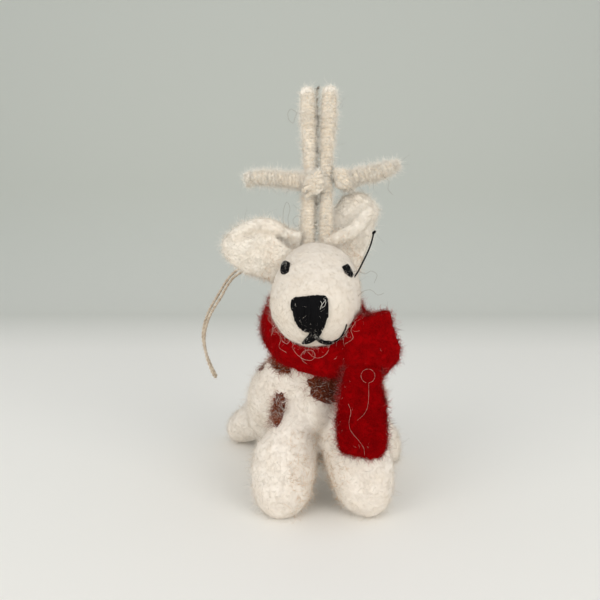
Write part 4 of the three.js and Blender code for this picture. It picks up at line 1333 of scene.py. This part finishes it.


# Hairs in a shade colour where a skin is seen edge on: painted shade at the rims of the body, ears and head.
rim_shade_hairs = [
    nap(rng, body, 1700, 3.2, 0.06, lift=1.2, curl=1.1, steps=7, keep=bare(at_rim)),
    nap(rng, ear_pieces["left"], 500, 2.8, 0.055, lift=1.1, curl=1.1, steps=7, keep=at_rim),
    nap(rng, ear_pieces["right"], 400, 2.8, 0.055, lift=1.1, curl=1.1, steps=7, keep=at_rim),
    nap(rng, head, 160, 2.2, 0.05, lift=1.1, curl=1.1, steps=7, keep=at_rim),
]
fibre_piece("rim_shade_hairs", rim_shade_hairs, shade_fibre)

for name, region in body_regions.items():
    keep = bare(within(region))
    short = nap(rng, body, 8900, 2.6, 0.055, lift=0.08, curl=0.6, keep=keep)
    long = nap(rng, body, 900, 3.6, 0.075, lift=0.8, curl=0.8, keep=keep, steps=7)
    fibre_piece(f"body_{name}_fuzz", [short, long], body_fibre)

head_fuzz = [
    nap(rng, head, 8200, 2.2, 0.05, lift=0.06, curl=0.6),
    nap(rng, head, 800, 2.4, 0.045, lift=0.7, curl=0.7, steps=6),
]
fibre_piece("head_fuzz", head_fuzz, shaded_head_fibre)

wrap_tree = skin_tree(wrap)
border = [nap(rng, head, 420, 2.6, 0.08, lift=0.8, curl=0.9, steps=7, keep=beside(wrap_tree, 1.2))]
fibre_piece("head_border_fuzz", border, wool_fibre)

for name, ear in ear_pieces.items():
    fuzz = [
        nap(rng, ear, 8600, 2.4, 0.065, lift=0.22, curl=0.8),
        nap(rng, ear, 1050, 3.4, 0.075, lift=0.9, curl=0.8, steps=7),
    ]
    fibre_piece(f"ear_{name}_fuzz", fuzz, wool_fibre)

for name, winding in windings.items():
    share = 1.0 if name.startswith("antler") else 0.65
    close_fuzz = [
        nap(rng, winding, int(9400 * share), 1.9, 0.09, lift=0.6, curl=1.0),
        nap(rng, tufts[name], 300, 1.7, 0.085, lift=0.5, curl=1.0),
    ]
    fibre_piece(f"{name}_fuzz", close_fuzz, wool_fibre, "yarn")
    halo = [
        nap(rng, winding, int(3600 * share), 3.0, 0.07, lift=0.9, curl=0.9, steps=7),
        nap(rng, tufts[name], 70, 3.0, 0.075, lift=1.0, curl=0.8, steps=7),
    ]
    fibre_piece(f"{name}_halo", halo, wool_fibre, "yarn")

for side, tie in ties.items():
    fuzz = [
        nap(rng, tie, 2400, 1.8, 0.1, lift=0.5, curl=1.0),
        nap(rng, tie, 160, 3.2, 0.085, lift=1.0, curl=0.8, steps=7),
    ]
    fibre_piece(f"branch_{side}_wrap_fuzz", fuzz, wool_fibre, "yarn")

# Hairs in a shade colour darken the right stem: painted shade.
stem_shade = [nap(rng, windings["antler_right"], 700, 2.2, 0.075, lift=0.6, curl=1.1, steps=6)]
fibre_piece("antler_right_shade_hairs", stem_shade, shade_fibre, "yarn")

dark_specks = [nap(rng, tie, 14, 1.6, 0.16, lift=0.5, curl=1.2, steps=6) for tie in ties.values()]
speck_heights = near_heights((87, 89), (108, 113), (117, 133), (148, 152), (176, 180), (196, 199))
dark_specks.append(nap(rng, gap_thread, 260, 1.3, 0.15, lift=0.7, curl=1.2, steps=6, keep=speck_heights))
gap_fuzz = [
    nap(rng, gap_thread, 500, 1.7, 0.08, lift=0.7, curl=1.0, steps=6),
    nap(rng, gap_thread, 900, 2.2, 0.085, lift=0.7, curl=1.0, steps=6, keep=near_heights((186, 240))),
]
fibre_piece("antler_gap_fuzz", gap_fuzz, umber_fibre, "thread")
fibre_piece("antler_dark_specks", dark_specks, dark_fibre, "thread")


def laid_fibre(pixels, depth_at, width=0.055, steps=90):
    """One long loose fibre through pixels of the photograph, at a depth for each."""
    path = np.array([at_depth(u, v, depth_at(u, v)) for u, v in pixel_line(pixels, steps)])
    return tube(path, width / 2, 4)


def on_red(tree, lift=0.12):
    """The depth just in front of a red skin under a pixel."""
    return lambda u, v: on_skin(tree, u, v)[0][1] - lift


def red_coats(name, felt, counts, lengths):
    """The fuzz of red felt, the pale halo at its rim and the dark hairs there, which are painted shade at the
    rim, each as a piece.
    """
    kinds = (
        ("fuzz", red_fibre, 0.1, {"lift": 0.5, "curl": 1.0}),
        ("halo", pink_fibre, 0.08, {"lift": 1.2, "curl": 0.8, "steps": 5, "keep": at_rim}),
        ("edge_shade_hairs", dark_red_fibre, 0.06, {"lift": 1.2, "curl": 0.9, "steps": 6, "keep": at_rim}),
    )
    return [
        mesh_piece(f"{name}_{kind}", *nap(rng, felt, count, length, width, **way), colour)
        for (kind, colour, width, way), count, length in zip(kinds, counts, lengths)
    ]


for coat in red_coats("scarf_wrap", wrap, (10800, 1700, 1500), (1.7, 2.4, 2.8)):
    dress(coat, "figure", "red_felt")

# Pale fibres that lie on the scarf, under the chin and beside it.
chin_loops = [
    [
        [292, 347], [295, 352], [300, 357], [306, 360], [312, 360], [315, 356],
        [313, 351], [308, 350], [303, 352], [301, 356], [303, 361], [307, 364],
    ],
    [[308, 352], [312, 356], [317, 358], [322, 357], [326, 354], [329, 350]],
    [[267, 302], [271, 310], [268, 319], [274, 327], [271, 336]],
    [[273, 328], [281, 338], [279, 347], [287, 353]],
    [[356, 322], [351, 330], [353, 338], [345, 344]],
]
wrap_strays = [
    nap(rng, wrap, 210, 3.6, 0.05, lift=0.7, curl=1.1, steps=8, keep=beside(head_tree, 1.6)),
    nap(rng, wrap, 34, 1.6, 0.05, lift=1.0, curl=0.9, steps=5),
]
wrap_strays += [laid_fibre(pixels, on_red(wrap_tree, 0.3)) for pixels in chin_loops]
fibre_piece("scarf_strays", wrap_strays, stray_fibre)

# The loose fibres on the hanging end: a ring with a long tail, and a wavy line below it.
end_tree = skin_tree(scarf_end)
ring_middle, ring_radius = np.array([368, 376]), 7
ring_fibre = [
    ring_middle + ring_radius * np.array([math.sin(a), -math.cos(a)]) for a in np.linspace(-2.9, 3.0, 14)
]
ring_fibre += [[368.8, 388.5], [368.6, 398], [367.3, 407.7], [364.2, 414], [357.1, 420.5]]
wavy_fibre = [
    [348.3, 403.8], [350.9, 412], [349.2, 421], [349.6, 428],
    [352.7, 433.6], [359, 441], [363.8, 448.7], [364.7, 456],
]
end_coats = red_coats("scarf_end", scarf_end, (7600, 800, 900), (1.5, 2.2, 2.6))
end_strays = [nap(rng, scarf_end, 24, 1.5, 0.05, lift=1.0, curl=0.9, steps=5)]
end_strays += [laid_fibre(pixels, on_red(end_tree)) for pixels in (ring_fibre, wavy_fibre)]
end_stray_piece = mesh_piece("scarf_end_strays", *gathered(end_strays), stray_fibre)
for piece in (scarf_end, *end_coats, end_stray_piece):
    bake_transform(piece)

patch_fuzz = [nap(rng, patch, 700, 3.0, 0.11, lift=0.5, curl=1.1, steps=6) for patch in patches.values()]
fibre_piece("patch_fuzz", patch_fuzz, brown_fibre, "brown_wool")
patch_web = [
    nap(rng, patches["flank_patch"], 85, 4.5, 0.17, lift=0.4, curl=0.9, steps=7),
    nap(rng, patches["chest_patch"], 26, 3.0, 0.09, lift=0.5, curl=1.0, steps=6),
    nap(rng, patches["collar_patch"], 50, 3.0, 0.1, lift=0.5, curl=1.0, steps=6),
    nap(rng, patches["shoulder_patch"], 30, 3.0, 0.1, lift=0.5, curl=1.0, steps=6),
]
fibre_piece("patch_web", patch_web, body_fibre)

# Tan hairs low on the inner sides of the front legs: partly real tan hairs, partly painted shade between the
# legs. The tan hairs on the ears near the head are painted shade.
between_legs = within(lambda x, y, z: (np.abs(x - middle_x) < 7) & (y < -9) & (z < 22))
leg_hairs = [nap(rng, body, 700, 3.4, 0.065, lift=0.9, curl=0.9, steps=7, keep=between_legs)]
fibre_piece("leg_tan_and_shade_hairs", leg_hairs, tan_and_shade_fibre)
ear_root = beside(head_tree, 5.0)
ear_shade = [
    nap(rng, ear_pieces["right"], 420, 2.6, 0.08, lift=0.6, curl=0.9, steps=6, keep=ear_root),
    nap(rng, ear_pieces["left"], 200, 2.6, 0.07, lift=0.6, curl=0.9, steps=6, keep=ear_root),
]
fibre_piece("ear_root_shade_hairs", ear_shade, tan_and_shade_fibre)

strays = [
    nap(rng, body, 110, 5.0, 0.045, lift=0.6, curl=0.4, steps=9),
    nap(rng, head, 14, 4.0, 0.04, lift=0.8, curl=0.4, steps=9),
    nap(rng, ear_pieces["left"], 30, 5.0, 0.045, lift=0.8, curl=0.35, steps=9),
    nap(rng, ear_pieces["right"], 30, 5.0, 0.045, lift=0.8, curl=0.35, steps=9),
]
for winding in windings.values():
    strays.append(nap(rng, winding, 26, 6.0, 0.05, lift=1.0, curl=0.3, steps=9))
    strays.append(nap(rng, winding, 9, 5.5, 0.08, lift=1.2, curl=0.75, steps=10))

# Single hairs that stand off in loops: the piece that each grows from and its pixels in the photograph.
high_ring = [[301, 114], [296, 112], [291, 109], [288, 113], [289, 120], [293, 123], [295, 118], [297, 113]]
tall_loop = [[284, 234], [284, 226], [283, 218], [284, 208], [287, 202], [290, 208], [288, 218], [289, 230]]
loose_curls = [
    (windings["antler_left"], high_ring),
    (ear_pieces["left"], tall_loop),
    (windings["antler_left"], [[304, 218], [297, 216], [293, 220], [296, 226], [302, 224]]),
    (windings["branch_right"], [[382, 170], [384, 177], [389, 181], [388, 189], [393, 195]]),
    (ear_pieces["right"], [[344, 208], [342, 202], [345, 196], [351, 194], [355, 199], [351, 206]]),
    (head, [[352, 272], [358, 271], [365, 274], [371, 271], [377, 275], [374, 283]]),
    (head, [[358, 296], [364, 291], [371, 290], [378, 295], [384, 293]]),
    (ear_pieces["left"], [[243, 236], [252, 239], [259, 244], [266, 246]]),
    (ear_pieces["right"], [[356, 200], [361, 206], [360, 213], [364, 217]]),
]
for piece, pixels in loose_curls:
    root, _ = on_skin(skin_tree(piece), *pixels[0])
    strays.append(laid_fibre(pixels, lambda u, v, root=root: root[1] - 0.2, 0.06))
fibre_piece("grey_strays", strays, grey_fibre)

# Stage, lamps and world

floor_paint = paint(243, 240, 233)
wall_paint = paint(203, 205, 196)
wall_reach = 1200
floor_end, wall_start = 0.2, 0.6


def make_floor_material():
    """The floor's colour, which turns into the wall's between two distances in metres."""
    material, wiring, shader = new_material("stage")
    place = wiring.add("ShaderNodeTexCoord").outputs["Object"]
    axes = wiring.add("ShaderNodeSeparateXYZ", Vector=place)
    share = wiring.span(axes.outputs["Y"], floor_end, wall_start)
    wiring.feed(shader.inputs["Base Color"], wiring.mix(share, floor_paint, wall_paint))
    give(shader, Roughness=0.9, Specular_IOR_Level=0.1)
    return material


def make_stage():
    """A pale floor that curves up into a wall."""
    front, back, radius, top = -600.0, 420.0, 180.0, 900.0
    turns = np.linspace(0, math.pi / 2, 16)
    bend = [[back + radius * math.sin(turn), radius * (1 - math.cos(turn))] for turn in turns]
    profile = [[front, 0.0], *bend, [back + radius, top]]
    points = [[x, y, z] for y, z in profile for x in (-wall_reach, wall_reach)]
    faces = [[2 * k, 2 * k + 1, 2 * k + 3, 2 * k + 2] for k in range(len(profile) - 1)]
    return mesh_piece("floor", points, faces, make_floor_material())


make_stage()


def soft_lamp(name, place, aim, size, watts, tint):
    data = bpy.data.lights.new(name, "AREA")
    data.size = size * MM
    data.energy = watts
    data.color = tint
    lamp = bpy.data.objects.new(name, data)
    lamp.location = Vector(place) * MM
    lamp.rotation_euler = (Vector(aim) - Vector(place)).to_track_quat("-Z", "Y").to_euler()
    bpy.context.collection.objects.link(lamp)


lamp_aim = (0, 0, 50)
lamp_size = 340
lamp_watts = 1.2
soft_lamp("lamp_right", (360, -430, 230), lamp_aim, lamp_size, lamp_watts, (1.0, 0.985, 0.96))
soft_lamp("lamp_left", (-400, -400, 230), lamp_aim, lamp_size, lamp_watts, (1.0, 0.99, 0.97))

sky_colour = (0.93, 0.96, 1.0, 1.0)
sky_strength = 0.74
world = bpy.data.worlds.new("world")
world.use_nodes = True
bpy.context.scene.world = world
sky = world.node_tree.nodes["Background"]
sky.inputs["Color"].default_value = sky_colour
sky.inputs["Strength"].default_value = sky_strength
bpy.context.scene.view_settings.view_transform = "Standard"
